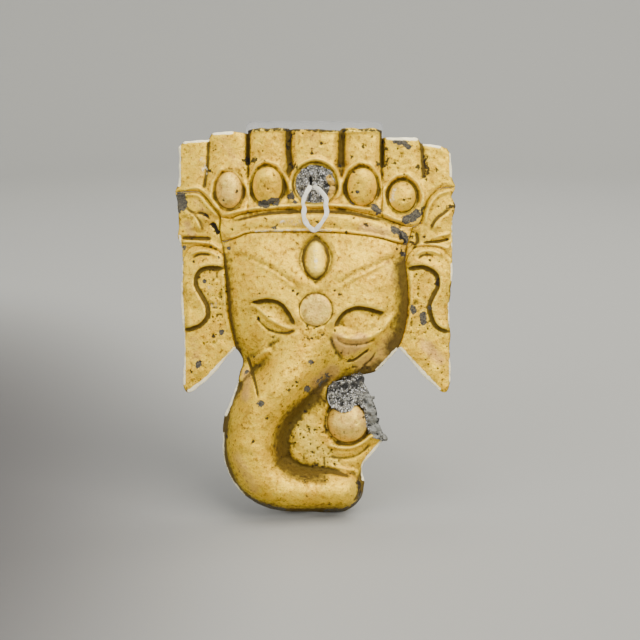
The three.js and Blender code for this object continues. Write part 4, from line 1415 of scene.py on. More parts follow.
    def dents(self) -> Dents:
        """The crown's larger pits."""
        return Dents(((-18, 159.5), (-17.2, 158.6), (-10, 162.5), (-6, 162.3), (-46, 147), (-45.2, 146.2),
                      (-56, 155), (-44, 156.5), (20, 157), (24, 161), (2, 158), (-23, 155), (-2, 154),
                      (15, 152.6), (47.6, 152.6), (52, 147), (33.6, 150), (6, 137), (7.4, 140)), 0.8)

    def sheets(self) -> tuple[BeatenPiece, ...]:
        """The three crown sheets."""
        left = ((-61, 137.9), (-59.5, 142), (-59.5, 157), (-57, 159.8), (-46.6, 160.4), (-45, 163.2),
                (-36, 163.6), (-29.6, 163.2))
        centre = ((-29.6, 164.6), (-12, self.top), (-11.4, 164.4), (10, 164.2), (11, self.top),
                  (28.2, 164.6))
        right = ((28.2, 161.2), (36, 161.2), (43.2, 160.8), (45, 158.8), (56.4, 157), (58.2, 154.6),
                 (58.4, 144), (60, 140.2))
        outlines = {
            "crown_left_sheet": chain(ragged(straight(left), 0.2), SEAMS["band_upper_left"][::-1],
                                      SEAMS["left_ribbon_top"][::-1]),
            "crown_centre_sheet": chain(ragged(straight(centre), 0.22), SEAMS["band_upper"][::-1]),
            "crown_right_sheet": chain(ragged(straight(right), 0.25), SEAMS["right_ribbon_top"],
                                       SEAMS["band_upper_right"][::-1]),
        }
        features, patches, dents = self.grooves_and_petals(), self.patches(), self.dents()
        return tuple(BeatenPiece(name, outline, self.ground, features, patches, dents, step=0.45,
                                 edge_drop=0.7) for name, outline in outlines.items())

    def band(self) -> BeatenPiece:
        """The brow band: a long low roll with a thin lower lip."""
        outline = chain(SEAMS["band_upper_left"], SEAMS["band_upper"], SEAMS["band_upper_right"],
                        SEAMS["band_right"], SEAMS["band_lower"][::-1], SEAMS["band_left"][::-1])
        upper = np.vstack([SEAMS[k] for k in ("band_upper_left", "band_upper", "band_upper_right")])

        def ground(x: np.ndarray, u: np.ndarray) -> np.ndarray:
            """The band's bow across the brow, and its round section."""
            low = nearest(SEAMS["band_lower"], x, u).distance
            high = nearest(upper, x, u).distance
            across = (low - high) / (low + high + 1e-6)
            bow = self.flange + self.band_rise * hump(x / 44)
            h = bow + 1.3 * hump(across)
            return h + (self.ground(x, u) - 0.2 - h) * ease(0.3, 1.0, across)

        features = (
            Line(((-39, 117.6), (-34, 118.9), (-28, 120.6), (-10, 121), (8, 120.7), (25, 118.7),
                  (33, 116.9), (38, 116)), 0.9, 0.6, 0.0, 5),
            Line(((-36, 125), (-20, 128.2), (0, 128.9), (14, 128.3), (28, 125.2)), -0.5, 0.7, 0.6, 5),
        )
        patches = (
            Patch(Mark.GREY, ((-37, 114.5),), 1.6), Patch(Mark.GREY, ((-18, 122),), 1.2, 0.8),
            Patch(Mark.GREY, ((33, 121.6), (36.6, 119.6), (38.6, 117)), 1.6),
            Patch(Mark.SOOT, ((35.6, 119.4), (37.6, 116.6)), 1.2, 0.7),
            Patch(Mark.BLUSH, ((20, 122), (30, 120)), 3, 0.8),
            Patch(Mark.BLUSH, ((-16, 125), (-4, 124)), 3, 0.5),
            # The pale shine on the band's roll and along its lower lip is painted highlight.
            Patch(Mark.SHINE, ((-15, 124.6), (-6, 124.4)), 1.8, 0.45),
            Patch(Mark.SHINE, ((-26, 120.6), (-8, 121), (6, 120.7)), 0.7, 0.6),
        )
        dents = Dents(((-14, 123.6), (-17, 123), (-36, 121.4), (0, 124.6), (0.6, 123.8), (7.8, 122.4),
                       (12.6, 120.4), (-29, 121.6), (21, 123.4), (16, 126)))
        return BeatenPiece("brow_band", outline, ground, features, patches, dents, step=0.45,
                           edge_drop=0.1)

    def jewel(self, name: str) -> BeatenPiece:
        """One jewel: a low oval cabochon that sinks into its petal."""
        jewel = self.jewels[name]

        def ground(x: np.ndarray, u: np.ndarray) -> np.ndarray:
            """The cabochon's dome on the crown's own ground."""
            r = np.hypot((x - jewel.centre[0]) / jewel.across, (u - jewel.centre[1]) / jewel.up)
            return self.ground(x, u) - 1.0 + (jewel.rise + 0.6) * hump(r, 2.6)

        spots = {
            "jewel_left_outer": (Patch(Mark.BLUSH, ((-37.6, 138.6),), 8, 0.35),),
            "jewel_left_inner": (Patch(Mark.GREY, ((-23.6, 132.6), (-17.6, 133.8)), 1.5),),
            "jewel_right_inner": (Patch(Mark.GREY, ((17.4, 137.4),), 0.9),),
            "jewel_right_outer": (Patch(Mark.SHINE, ((33.6, 140), (32.4, 134)), 1.4, 0.5),),
        }[name]
        dents = Dents(((-41.8, 137.2), (-34, 137.8), (-39.6, 134), (-20.6, 138.6), (-18.4, 137),
                       (18, 141), (15.4, 137.4), (16, 146), (37.4, 133.6), (40, 134.4), (39, 141)), 0.65)
        outline = ring(jewel.centre, jewel.across, jewel.up)
        return BeatenPiece(name, outline, ground, (), spots, dents, step=0.35, hammer=0.1)

    def crest(self) -> BeatenPiece:
        """The grey bedding of the lost middle jewel, with a slit for the tie."""
        def ground(x: np.ndarray, u: np.ndarray) -> np.ndarray:
            """A rough low dome, higher at the right where gold still holds."""
            r = np.hypot((x - self.crest_centre[0]) / self.crest_across,
                         (u - self.crest_centre[1]) / self.crest_up)
            return self.ground(x, u) - 1.4 + 1.2 * hump(r) + 0.5 * ease(4, 7, x)

        features = (Line(((-2.6, 139.8), (-2.4, 144.4)), -1.5, 0.5, 1.0, 1),)
        # The gold left at the right is real; the darker streak beside it is patina with painted shade.
        patches = (Patch(Mark.SHINE, ((5.4, 143.6), (7, 139.6), (5.8, 135.6)), 1.5, 0.9),
                  Patch(Mark.PATINA_AND_SHADE, ((1, 147), (4, 141), (2, 135)), 1.6, 0.5))
        outline = ring(self.crest_centre, self.crest_across, self.crest_up)
        return BeatenPiece("crest_fill", outline, ground, features, patches, step=0.3,
                           thickness=2.6, crumple=0.6)

    def make(self, palette: Palette) -> None:
        """Build and dress every piece of the crown."""
        for part in (*self.sheets(), self.band()):
            part.dress(part.build(), palette.gilding, palette, "gilding")
        for name in self.jewels:
            part = self.jewel(name)
            rose = name == "jewel_left_outer"
            part.dress(part.build(), palette.rose if rose else palette.gilding, palette,
                       "pink_gilding" if rose else "gilding")
        crest = self.crest()
        piece = crest.build()
        for _ in range(3):
            piece.data.materials.append(palette.solder)
        hand_over(piece, PLAQUE, crest.node)


@dataclass
class SideSheets:
    """The ribbons beside the brow and the two ears."""

    flange: float = 3.2
    ear_drop: float = 1.4

    def ground(self, x: np.ndarray, u: np.ndarray) -> np.ndarray:
        """Nearly flat, curving back at the outer edge."""
        return self.flange - self.ear_drop * ease(51, 60, np.abs(x))

    def left_ear(self) -> BeatenPiece:
        """The left ear, with its long S-shaped fold."""
        edge = ((-34.8, 70.4), (-44, 60.4), (-49, 55.4), (-55, 51.4), (-57.4, 54), (-57.6, 61),
                (-57, 73), (-57.8, 80), (-58.6, 94), (-58.2, 104), (-58, 108.8))
        outline = chain(ragged(curved(edge), 0.25), SEAMS["left_ear_top"], SEAMS["left_face"])
        fold = ((-57.5, 78.8), (-55, 78.9), (-51.5, 80), (-49, 81.7), (-47.2, 84.5), (-47, 87),
                (-48, 90), (-50, 93.5), (-52, 97), (-52.3, 100.5), (-50.7, 103.7), (-47.5, 105.3),
                (-43, 105.3), (-39.5, 105))
        features = (
            Fold(fold, 1.6, 4.5, 0.5, 1.0, 3),
            Line(fold, -0.8, 0.8, 0.8),
            Line(((-55, 110.5), (-51, 112.3), (-46, 112), (-42, 109.5)), 0.8, 0.7),
            Line(((-54, 109.4), (-50, 111), (-45, 110.6)), -0.5, 0.6, 0.7),
            Line(((-40.5, 104), (-40, 95), (-39.2, 85), (-37.6, 77)), 0.7, 0.9),
            Line(((-55.8, 100), (-55.4, 90), (-55, 82)), 0.6, 1.2),
            Line(((-53, 58), (-46, 66), (-40, 74)), 0.5, 3.0),
        )
        patches = (
            Patch(Mark.SHINE, ((-58.2, 108), (-58.4, 96), (-57.6, 80), (-57.2, 66), (-57.3, 55)), 0.7, 0.9),
            Patch(Mark.SHINE, ((-35.2, 70.2), (-44, 60.8), (-49, 55.8), (-54.6, 52)), 1.1),
            Patch(Mark.GREY, ((-51, 63.5),), 1.5), Patch(Mark.GREY, ((-48.3, 99.5),), 1.0),
            Patch(Mark.GREY, ((-41, 77.5),), 1.3), Patch(Mark.GREY, ((-42.4, 109.5),), 1.0, 0.8),
            Patch(Mark.PITTED, ((-43, 100), (-43, 88), (-44, 76)), 5, 0.9),
            Patch(Mark.PITTED, ((-47, 64), (-53, 58)), 4, 0.6),
            Patch(Mark.SHINE, ((-46, 97), (-44, 88)), 1.8, 0.4),
            Patch(Mark.BLUSH, ((-53, 74), (-52, 66)), 4, 0.5),
        )
        dents = Dents(((-45, 93), (-53, 108), (-49, 108.5), (-40.6, 84), (-54, 60), (-44.5, 76)))
        return BeatenPiece("left_ear", outline, self.ground, features, patches, dents)

    def right_ear(self) -> BeatenPiece:
        """The right ear, with its own S-shaped fold."""
        edge = ((58.8, 108.8), (58.9, 101), (57, 88), (58, 79), (57.5, 69), (58, 60), (57, 52.6),
                (53, 52.2), (45, 60), (35.3, 70.8))
        outline = chain(ragged(curved(edge), 0.25), SEAMS["right_face"][::-1],
                        SEAMS["right_ear_top"][::-1])
        fold = ((38.8, 105), (42, 105.4), (46, 105.7), (50, 104), (52.3, 101.5), (52.5, 97),
                (50.5, 93), (49, 89.5), (49.2, 86), (50.5, 82), (52.5, 79.5), (55, 78.3), (57.8, 77.6))
        features = (
            Fold(fold, 1.6, 4.5, 0.5, 1.0, 3),
            Line(fold, -0.8, 0.8, 0.8),
            Line(((42, 109.8), (45, 112.2), (50, 112.4), (55, 110.4)), 0.8, 0.7),
            Line(((43, 108.4), (46, 110.6), (51, 110.6)), -0.5, 0.6, 0.7),
            Line(((40.4, 104), (41, 95), (40.4, 85), (38.6, 77)), 0.7, 0.9),
            Line(((55.8, 100), (54.8, 90), (55.4, 82)), 0.6, 1.2),
            Line(((53, 58), (46, 66), (41, 73)), 0.5, 3.0),
        )
        patches = (
            Patch(Mark.SHINE, ((36, 70.2), (45, 60.4), (52.6, 52.8)), 1.2),
            Patch(Mark.SHINE, ((57.6, 90), (57.8, 80)), 1.0, 0.9),
            Patch(Mark.SHINE, ((58.7, 107), (58.6, 100)), 0.8, 0.9),
            Patch(Mark.SHINE, ((57.8, 70), (57.8, 56)), 0.7, 0.7),
            Patch(Mark.GREY, ((41.5, 88), (42, 86.4)), 1.4), Patch(Mark.GREY, ((46, 85), (46, 81.5)), 1.5),
            Patch(Mark.GREY, ((49, 88),), 1.0), Patch(Mark.SOOT, ((52, 99.5),), 1.6, 0.8),
            Patch(Mark.PITTED, ((44, 100), (44, 90), (44, 78)), 5, 0.9),
            Patch(Mark.PITTED, ((46, 66), (54, 58)), 4, 0.6),
            Patch(Mark.BLUSH, ((47, 72), (53, 66)), 4, 0.8),
        )
        dents = Dents(((44, 93), (53, 108), (49, 108.5), (41, 80), (54, 60), (52.5, 76)))
        return BeatenPiece("right_ear", outline, self.ground, features, patches, dents)

    def left_ribbon(self) -> BeatenPiece:
        """The left ribbon's swept folds."""
        edge = straight(((-58, 108.8), (-58.2, 113.6), (-59.8, 119), (-59.6, 129), (-61, 137.9)))
        outline = chain(ragged(edge, 0.3), SEAMS["left_ribbon_top"], SEAMS["band_left"],
                        SEAMS["left_temple"], SEAMS["left_ear_top"][::-1])
        features = (
            Line(((-60, 136.6), (-53, 136.8), (-50, 135.6), (-46.4, 131.4), (-42, 126.6)), 0.9, 0.9),
            Fold(((-50, 120), (-50.3, 123), (-52, 126.5), (-55.5, 129.8), (-59, 131)), 1.3, 4.0, 0.45, 0.8),
            Line(((-55, 129.9), (-52, 126.8), (-50.3, 123), (-50, 120)), 0.7, 0.6),
            Line(((-59, 116.8), (-50, 116.2), (-45, 115.4), (-41, 112.5)), 1.2, 0.7),
            Line(((-59, 118.2), (-50, 118), (-44.6, 117.8)), -0.9, 0.8, 0.9),
            Line(((-45.4, 125), (-43.4, 122.4), (-42, 119.6)), -1.4, 0.8, 1.5, 1.5),
            Line(((-52, 129.2), (-48, 128.2), (-45.6, 125.6)), -0.8, 0.6, 1.0),
            Line(((-42.6, 126), (-42.4, 121), (-41.4, 116)), 0.8, 0.7),
        )
        patches = (
            Patch(Mark.GREY, ((-58.6, 135.4), (-58.4, 132)), 2.8),
            Patch(Mark.SOOT, ((-44.4, 123.6), (-42.6, 120.6)), 1.3),
            Patch(Mark.SOOT, ((-50, 129), (-47, 127.4)), 0.7, 0.7),
            Patch(Mark.GREY, ((-57.4, 114),), 1.1), Patch(Mark.BLUSH, ((-56, 124), (-54, 120)), 3, 0.7),
            Patch(Mark.BLUSH, ((-52, 134), (-48, 128)), 2.5, 0.5),
            Patch(Mark.SHINE, ((-59.2, 119), (-58.6, 112)), 0.7, 0.7),
        )
        dents = Dents(((-56.6, 127), (-45.6, 114), (-54, 117.8), (-58, 117), (-43, 113.6)))
        return BeatenPiece("left_ribbon", outline, self.ground, features, patches, dents, step=0.45)

    def right_ribbon(self) -> BeatenPiece:
        """The right ribbon's swept folds."""
        edge = straight(((60, 140.2), (58.6, 136), (60.2, 132), (58.6, 127), (58.9, 118), (58.8, 108.8)))
        outline = chain(ragged(edge, 0.35), SEAMS["right_ear_top"], SEAMS["right_temple"][::-1],
                        SEAMS["band_right"][::-1], SEAMS["right_ribbon_top"][::-1])
        features = (
            Line(((58, 138.6), (53, 137), (49.6, 133.4), (47.8, 129.4), (47, 123)), 1.1, 0.9),
            Fold(((59, 131), (54, 127.5), (51, 124.5), (49.6, 120)), 1.2, 4.5, 0.45, 1.1),
            Line(((50, 117.8), (54, 119.3), (58, 120)), 1.1, 0.7),
            Line(((45, 115.7), (52, 116.5), (58, 117.8)), -0.9, 0.6, 1.2),
            Line(((42, 114.4), (46, 115.4), (51, 115.2), (58, 113.4)), 1.0, 0.7),
            Line(((42.6, 121.6), (43.6, 117), (41.4, 112)), -0.8, 1.2, 0.7),
        )
        patches = (
            Patch(Mark.SOOT, ((41.5, 120), (40.6, 115.6)), 1.2, 0.7),
            Patch(Mark.GREY, ((41.6, 124.6), (43.4, 126)), 1.8),
            Patch(Mark.SOOT, ((56, 131.2), (58, 131.8)), 1.0, 0.8),
            Patch(Mark.SOOT, ((59.4, 133), (59.6, 130)), 1.0, 0.8),
            Patch(Mark.SHINE, ((58.6, 127), (58.6, 112)), 0.6, 0.6),
        )
        dents = Dents(((46.6, 118.6), (56.4, 117.6), (52.6, 131.6), (50.6, 121)))
        return BeatenPiece("right_ribbon", outline, self.ground, features, patches, dents, step=0.45)

    def make(self, palette: Palette) -> None:
        """Build and dress the ears and ribbons."""
        for part in (self.left_ribbon(), self.right_ribbon(), self.left_ear(), self.right_ear()):
            part.dress(part.build(), palette.gilding, palette, "gilding")


# ---------------------------------------------------------------- tie, strap and stand
@dataclass
class Tie:
    """The flat cotton tape looped through the crest's slit, and its knot behind."""

    width: float = 1.9
    thickness: float = 0.5
    route: tuple[tuple[float, float, float], ...] = (
        (-2.6, 140.2, 6.9), (-3.2, 138.8, 8.8), (-4.4, 136.6, 10.4), (-5.7, 132.6, 11.2),
        (-5.2, 130.2, 11.6), (-5.4, 126.8, 12.0), (-4.2, 123.6, 12.3), (-2.2, 121.4, 12.4),
        (-0.6, 120.8, 12.6), (1.0, 122.4, 13.0), (2.4, 124.2, 12.7), (4.3, 127.8, 12.1),
        (3.9, 131.4, 11.4), (4.0, 134.4, 10.7), (1.6, 137.8, 9.8), (-0.2, 139.2, 8.6),
        (-1.0, 140.2, 6.9))
    knot_centre: tuple[float, float, float] = (-2.6, 141.4, -0.2)
    knot_radius: float = 2.3

    def loop(self) -> tuple[bpy.types.Object, list[Vector], float]:
        """The tape as a flat band that faces the viewer.

        Returns:
            The band, the line along its middle, and its length in metres.
        """
        line = curved(self.route, 0.5)
        along = np.gradient(line, axis=0)
        across = np.stack([-along[:, 1], along[:, 0], np.zeros(len(line))], axis=1)
        across /= np.linalg.norm(across, axis=1, keepdims=True)
        through = np.cross(along, across)
        through /= np.linalg.norm(through, axis=1, keepdims=True)
        turn = 0.5 * noise(line[:, 0], line[:, 1], 7.0, 51)[:, None]
        wide = np.cos(turn) * across + np.sin(turn) * through
        deep = np.cross(along / np.linalg.norm(along, axis=1, keepdims=True), wide)
        # A flat oval section, a little narrower where the tape is kinked.
        half = self.width / 2 * (1 + 0.28 * noise(line[:, 0], line[:, 1], 2.4, 52))[:, None]
        bm = bmesh.new()
        loops = []
        for step in range(12):
            angle = 2 * math.pi * step / 12
            side = math.copysign(abs(math.cos(angle)) ** 0.6, math.cos(angle))
            face = math.copysign(abs(math.sin(angle)) ** 0.6, math.sin(angle))
            edge = line + side * half * wide + face * self.thickness / 2 * deep
            loops.append([bm.verts.new(place) for place in edge])
        for one, other in zip(loops, loops[1:] + loops[:1]):
            for a, b, c, d in zip(one, one[1:], other[1:], other):
                bm.faces.new((a, b, c, d))
        for end in (0, -1):
            bm.faces.new([row[end] for row in loops])
        bmesh.ops.recalc_face_normals(bm, faces=bm.faces)
        middle = [TO_WORLD @ Vector(place) for place in line]
        length = sum((b - a).length for a, b in zip(middle, middle[1:]))
        return finished(bm, "tie_tape"), middle, length

    def knot(self) -> bpy.types.Object:
        """The knot: crossing turns of tape drawn into a small lump."""
        bm = bmesh.new()
        bmesh.ops.create_icosphere(bm, subdivisions=4, radius=1)
        for vert in bm.verts:
            n = vert.co.normalized()
            turns = 0.10 * math.sin(9 * n.x + 2 * n.y) + 0.08 * math.sin(8 * n.y - 4 * n.z)
            waist = 1 - 0.18 * math.exp(-((n.x / 0.25) ** 2))
            vert.co = n * (0.86 + turns * 0.8) * waist
        bmesh.ops.scale(bm, vec=(self.knot_radius, self.knot_radius * 0.9, 1.3), verts=bm.verts)
        bmesh.ops.translate(bm, vec=self.knot_centre, verts=bm.verts)
        return finished(bm, "tie_knot_turns")

    def make(self, palette: Palette) -> None:
        """Build and dress the tape and its knot."""
        loop, middle, length = self.loop()
        loop.data.materials.append(palette.cotton)
        knot = self.knot()
        knot.data.materials.append(palette.cotton)
        hand_over(loop, PLAQUE, "tie_loop")
        hand_over(knot, PLAQUE, "tie_knot")
        LOG.info("tie: %.1f mm of tape", length / MM)


@dataclass
class Hanger:
    """The brass strap soldered across the plaque's back."""

    length: float = 100.0
    width: float = 6.0
    thickness: float = 0.8
    corner: float = 1.5
    up: float = 104.0
    front: float = 1.7

    def build(self) -> bpy.types.Object:
        """A flat strip with rounded corners and softened edges."""
        bm = bmesh.new()
        matrix = Matrix.Translation((0, self.up, self.front - self.thickness / 2))
        matrix @= Matrix.Diagonal((self.length, self.width, self.thickness, 1))
        bmesh.ops.create_cube(bm, size=1, matrix=matrix)
        corners = [e for e in bm.edges if abs((e.verts[0].co - e.verts[1].co).z) > self.thickness / 2]
        bmesh.ops.bevel(bm, geom=corners, offset=self.corner, segments=5, profile=0.5,
                        affect="EDGES", material=-1)
        rims = [e for e in bm.edges if e.calc_face_angle(0.0) > math.radians(60)]
        bmesh.ops.bevel(bm, geom=rims, offset=0.18, segments=2, profile=0.5, affect="EDGES",
                        material=-1)
        piece = finished(bm, "brass_hanger_strap")
        harden(piece, 35)
        return piece

    def make(self, palette: Palette) -> None:
        """Build and dress the strap."""
        piece = self.build()
        piece.data.materials.append(palette.brass)
        hand_over(piece, PLAQUE, "hanger_strap")


@dataclass
class DisplayStand:
    """The bent acrylic strip with its two pegs and four silicone buffers."""

    gap: float = 2.3
    thickness: float = 3.0
    head_half: float = 29.7
    head_bottom: float = 72.0
    top: float = 169.4
    corner: float = 2.4
    stem_half: float = 15.0
    shoulder: float = 6.0
    bend: float = 5.0
    foot_length: float = 78.0
    foot_half: float = 20.0
    foot_corner: float = 7.0
    centre: float = -0.9
    peg_spacing: float = 28.0
    peg_width: float = 6.0
    peg_arm: float = 3.6
    lip: float = 2.2
    lip_rise: float = 2.8
    strap_play: float = 0.7
    strap_up: float = 104.0
    strap_half: float = 3.0
    strap_front: float = 1.7
    seat: float = 0.3
    soft_edge: float = 0.35
    top_buffers: tuple[float, float, float] = (40.0, 156.0, 2.9)
    low_buffers: tuple[float, float, float] = (16.0, 4.2, -0.3)
    buffer_radius: float = 4.0

    @cached_property
    def flat(self) -> tuple[float, float]:
        """How far up the plate the bend starts, and how long the bend's outside is."""
        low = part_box("display_stand")[0][2] / MM
        origin = TO_WORLD.translation.z / MM
        turn = math.pi / 2 + PLANE.lean
        # The bend's centre is a bend radius above the table and behind the plate's front.
        drop = low + self.bend + self.bend * math.sin(PLANE.lean) - origin
        start = (drop + self.gap * math.sin(PLANE.lean)) / math.cos(PLANE.lean)
        return start, self.bend * turn

    def place(self, x: float, s: float) -> Vector:
        """Where a point of the strip's outside lies once it is bent.

        Args:
            x: Across the strip, in millimetres from its centre line.
            s: Down the strip, in millimetres from its top.

        Returns:
            The point in metres in the frame.
        """
        start, arc = self.flat
        plane_x = x + self.centre
        along = self.top - start
        if s <= along:
            return TO_WORLD @ Vector((plane_x, self.top - s, -self.gap))
        tangent = TO_WORLD @ Vector((plane_x, start, -self.gap))
        middle = tangent - PLANE.out * self.bend * MM
        turned = min(s - along, arc) / self.bend
        spoke = Matrix.Rotation(turned, 3, "X") @ (PLANE.out * self.bend * MM)
        rest = Vector((0, max(0.0, s - along - arc) * MM, 0))
        return middle + spoke + rest

    def plate(self) -> bpy.types.Object:
        """The strip, cut flat to its outline and then bent."""
        start, arc = self.flat
        stem = self.top - self.head_bottom
        end = self.top - start + arc + self.foot_length
        bend_end = end - self.foot_length
        right: list[tuple[float, float]] = []

        def corner(cx: float, cs: float, radius: float, first: float, last: float) -> None:
            """Add a quarter turn to the right-hand edge."""
            for step in range(9):
                turn = math.radians(first + (last - first) * step / 8)
                right.append((cx + radius * math.cos(turn), cs + radius * math.sin(turn)))

        corner(self.head_half - self.corner, self.corner, self.corner, -90, 0)
        corner(self.head_half - self.shoulder, stem - self.shoulder, self.shoulder, 0, 90)
        corner(self.stem_half + self.shoulder, stem + self.shoulder, self.shoulder, 270, 180)
        right.append((self.stem_half, bend_end))
        corner(self.foot_half - self.foot_corner, end - self.foot_corner, self.foot_corner, 0, 90)
        half = np.array(right)
        outline = chain(half, half[::-1] * np.array([-1, 1]))
        bm = trimmed_grid(outline, 1.5, 0.0)
        for vert in bm.verts:
            vert.co = self.place(vert.co.x, vert.co.y)
        bmesh.ops.recalc_face_normals(bm, faces=bm.faces)
        front = max(bm.faces, key=lambda face: face.calc_center_median().z)
        if front.normal.dot(PLANE.out) < 0:
            bmesh.ops.reverse_faces(bm, faces=bm.faces)
        piece = finished(bm, "bent_acrylic_stand", Matrix.Identity(4))
        solid = piece.modifiers.new("sheet thickness", "SOLIDIFY")
        solid.thickness = self.thickness * MM
        solid.offset = -1
        solid.material_offset_rim = 1
        chamfer(piece, 1.2, 3)
        piece.modifiers["rounded edges"].material = 2
        return piece

    def peg(self, sign: int) -> bpy.types.Object:
        """One peg: a short arm with an upturned lip, its edges rounded."""
        top = self.strap_up - self.strap_half - self.seat
        back, lip = -self.gap, self.strap_front + self.strap_play
        side = ((back, top - self.peg_arm), (lip + self.lip, top - self.peg_arm),
                (lip + self.lip, top + self.lip_rise), (lip, top + self.lip_rise), (lip, top), (back, top))
        bm = bmesh.new()
        left = sign * self.peg_spacing / 2 - self.peg_width / 2 + self.centre
        verts = [bm.verts.new((left, u, h)) for h, u in side]
        face = bm.faces.new(verts)
        swept = bmesh.ops.extrude_face_region(bm, geom=[face])
        moved = [v for v in swept["geom"] if isinstance(v, bmesh.types.BMVert)]
        bmesh.ops.translate(bm, vec=(self.peg_width, 0, 0), verts=moved)
        bmesh.ops.recalc_face_normals(bm, faces=bm.faces)
        bmesh.ops.bevel(bm, geom=list(bm.edges), offset=self.soft_edge, segments=3, profile=0.5,
                        affect="EDGES", material=-1)
        piece = finished(bm, ("left" if sign < 0 else "right") + "_acrylic_peg")
        harden(piece, 50)
        return piece

    def buffer(self, name: str, x: float, u: float, tip: float) -> bpy.types.Object:
        """One round buffer, spun from its section.

        Args:
            name: The object's name.
            x: Its centre across the plate.
            u: Its centre up the plate.
            tip: How far out its tip reaches.

        Returns:
            The buffer, closed at both ends.
        """
        back, round_off = -self.gap, 0.8
        radius = self.buffer_radius
        height = tip - back
        section = [(0.0, 0.0), (radius - 0.15, 0.0), (radius, 0.15), (radius - 0.1, height - round_off)]
        for step in range(1, 6):
            turn = math.radians(18 * step)
            section.append((radius - 0.1 - round_off * (1 - math.cos(turn)),
                            height - round_off + round_off * math.sin(turn)))
        section.append((radius * 0.45, height))
        section.append((0.0, height))
        bm = bmesh.new()
        verts = [bm.verts.new((r, 0, h)) for r, h in section]
        edges = [bm.edges.new(pair) for pair in zip(verts, verts[1:])]
        bmesh.ops.spin(bm, geom=verts + edges, cent=(0, 0, 0), axis=(0, 0, 1), dvec=(0, 0, 0),
                       angle=2 * math.pi, steps=40, use_merge=True)
        bmesh.ops.remove_doubles(bm, verts=bm.verts, dist=1e-4)
        bmesh.ops.recalc_face_normals(bm, faces=bm.faces)
        bmesh.ops.translate(bm, vec=(x, u, back), verts=bm.verts)
        piece = finished(bm, name)
        harden(piece, 50)
        return piece

    def make(self, palette: Palette) -> None:
        """Build and dress the stand."""
        plate = self.plate()
        for material in (palette.acrylic, palette.rim, palette.chamfer):
            plate.data.materials.append(material)
        hand_over(plate, STAND, "display_stand")
        for sign, side in ((-1, "left"), (1, "right")):
            peg = self.peg(sign)
            peg.data.materials.append(palette.acrylic)
            hand_over(peg, STAND, side + "_peg")
            for level, (spacing, up, tip) in (("top", self.top_buffers), ("low", self.low_buffers)):
                node = f"{side}_{level}_bumper"
                x = sign * spacing / 2 + self.centre
                buffer = self.buffer(f"{side}_{level}_silicone", x, up, tip)
                buffer.data.materials.append(palette.silicone)
                hand_over(buffer, STAND, node)


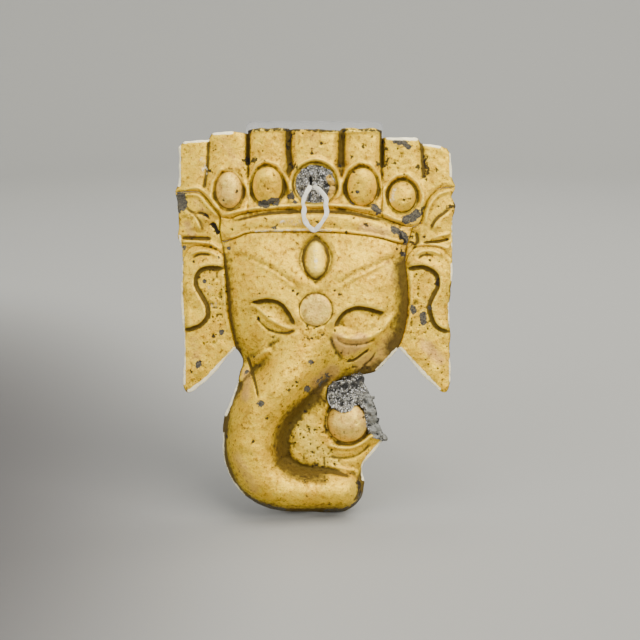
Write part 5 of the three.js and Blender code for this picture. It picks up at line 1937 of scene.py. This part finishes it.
# ---------------------------------------------------------------- studio
@dataclass
class Studio:
    """A pale seamless sweep, soft lights and the camera."""

    floor: float = 1.0
    sweep: float = 0.6
    wall: float = 1.3
    lens: float = 70.0
    distance: float = 0.54
    aim: tuple[float, float] = (1.5, 82.7)
    sky: str = "#e6e6ea"
    sky_strength: float = 0.95
    warm: str = "#fffdf8"

    def stage(self, palette: Palette) -> None:
        """A round floor that sweeps up into a wall."""
        bm = bmesh.new()
        section = [(0.0, 0.0), (self.floor / 2, 0.0), (self.floor, 0.0)]
        for step in range(1, 17):
            turn = math.radians(90 * step / 16)
            section.append((self.floor + self.sweep * math.sin(turn),
                            self.sweep * (1 - math.cos(turn))))
        section.append((self.floor + self.sweep, self.wall))
        verts = [bm.verts.new((r, 0, z)) for r, z in section]
        edges = [bm.edges.new(pair) for pair in zip(verts, verts[1:])]
        bmesh.ops.spin(bm, geom=verts + edges, cent=(0, 0, 0), axis=(0, 0, 1), dvec=(0, 0, 0),
                       angle=2 * math.pi, steps=96, use_merge=True)
        bmesh.ops.remove_doubles(bm, verts=bm.verts, dist=1e-5)
        bmesh.ops.recalc_face_normals(bm, faces=bm.faces)
        piece = finished(bm, "pale_sweep", Matrix.Identity(4))
        piece.data.materials.append(palette.board)

    def lamp(self, name: str, place: tuple[float, float, float], size: float, power: float,
             color: str, at: tuple[float, float, float] = (0.0, 0.0, 0.09)) -> None:
        """A square soft light.

        Args:
            name: The light's name.
            place: Metres in the frame.
            size: Its side, in metres.
            power: Watts.
            color: Its sRGB colour.
            at: Where it looks.
        """
        data = bpy.data.lights.new(name, "AREA")
        data.size = size
        data.energy = power
        data.color = linear(color)[:3]
        lamp = bpy.data.objects.new(name, data)
        lamp.location = place
        lamp.rotation_euler = (Vector(at) - Vector(place)).to_track_quat("-Z", "Y").to_euler()
        bpy.context.scene.collection.objects.link(lamp)

    def lights(self) -> None:
        """A broad key, a weaker fill, a top light, a light on the wall and a pale sky."""
        self.lamp("key", (0.62, -0.62, 0.95), 1.0, 23.0, "#fffaf2")
        self.lamp("fill", (-0.9, -0.7, 0.5), 1.0, 10.0, "#f4f6ff")
        self.lamp("top", (0.1, 0.1, 1.25), 0.8, 10.0, self.warm)
        self.lamp("wall", (0.2, 0.5, 1.1), 0.8, 14.0, self.warm, (0.1, 1.5, 0.35))
        world = bpy.data.worlds.new("studio")
        bpy.context.scene.world = world
        world.use_nodes = True
        background = world.node_tree.nodes["Background"]
        background.inputs["Color"].default_value = linear(self.sky)
        background.inputs["Strength"].default_value = self.sky_strength

    def camera(self) -> None:
        """A long lens square to the leaning plaque."""
        data = bpy.data.cameras.new("camera")
        data.lens = self.lens
        data.sensor_width = 36
        data.clip_start = 0.01
        camera = bpy.data.objects.new("camera", data)
        place = TO_WORLD @ Vector((*self.aim, 0)) + PLANE.out * self.distance
        axes = Matrix((Vector((1, 0, 0)), PLANE.up, PLANE.out)).transposed().to_4x4()
        camera.matrix_world = Matrix.Translation(place) @ axes
        bpy.context.scene.collection.objects.link(camera)
        bpy.context.scene.camera = camera

    def make(self, palette: Palette) -> None:
        """Set up the stage and its lights."""
        self.stage(palette)
        self.lights()


def main() -> None:
    """Build the whole scene in order."""
    logging.basicConfig(level=logging.INFO, format="%(message)s")
    palette = Palette()
    studio = Studio()
    studio.camera()
    Tie().make(palette)
    Face().make(palette)
    Crown().make(palette)
    SideSheets().make(palette)
    Hanger().make(palette)
    DisplayStand().make(palette)
    studio.make(palette)


if __name__ == "__main__":
    main()
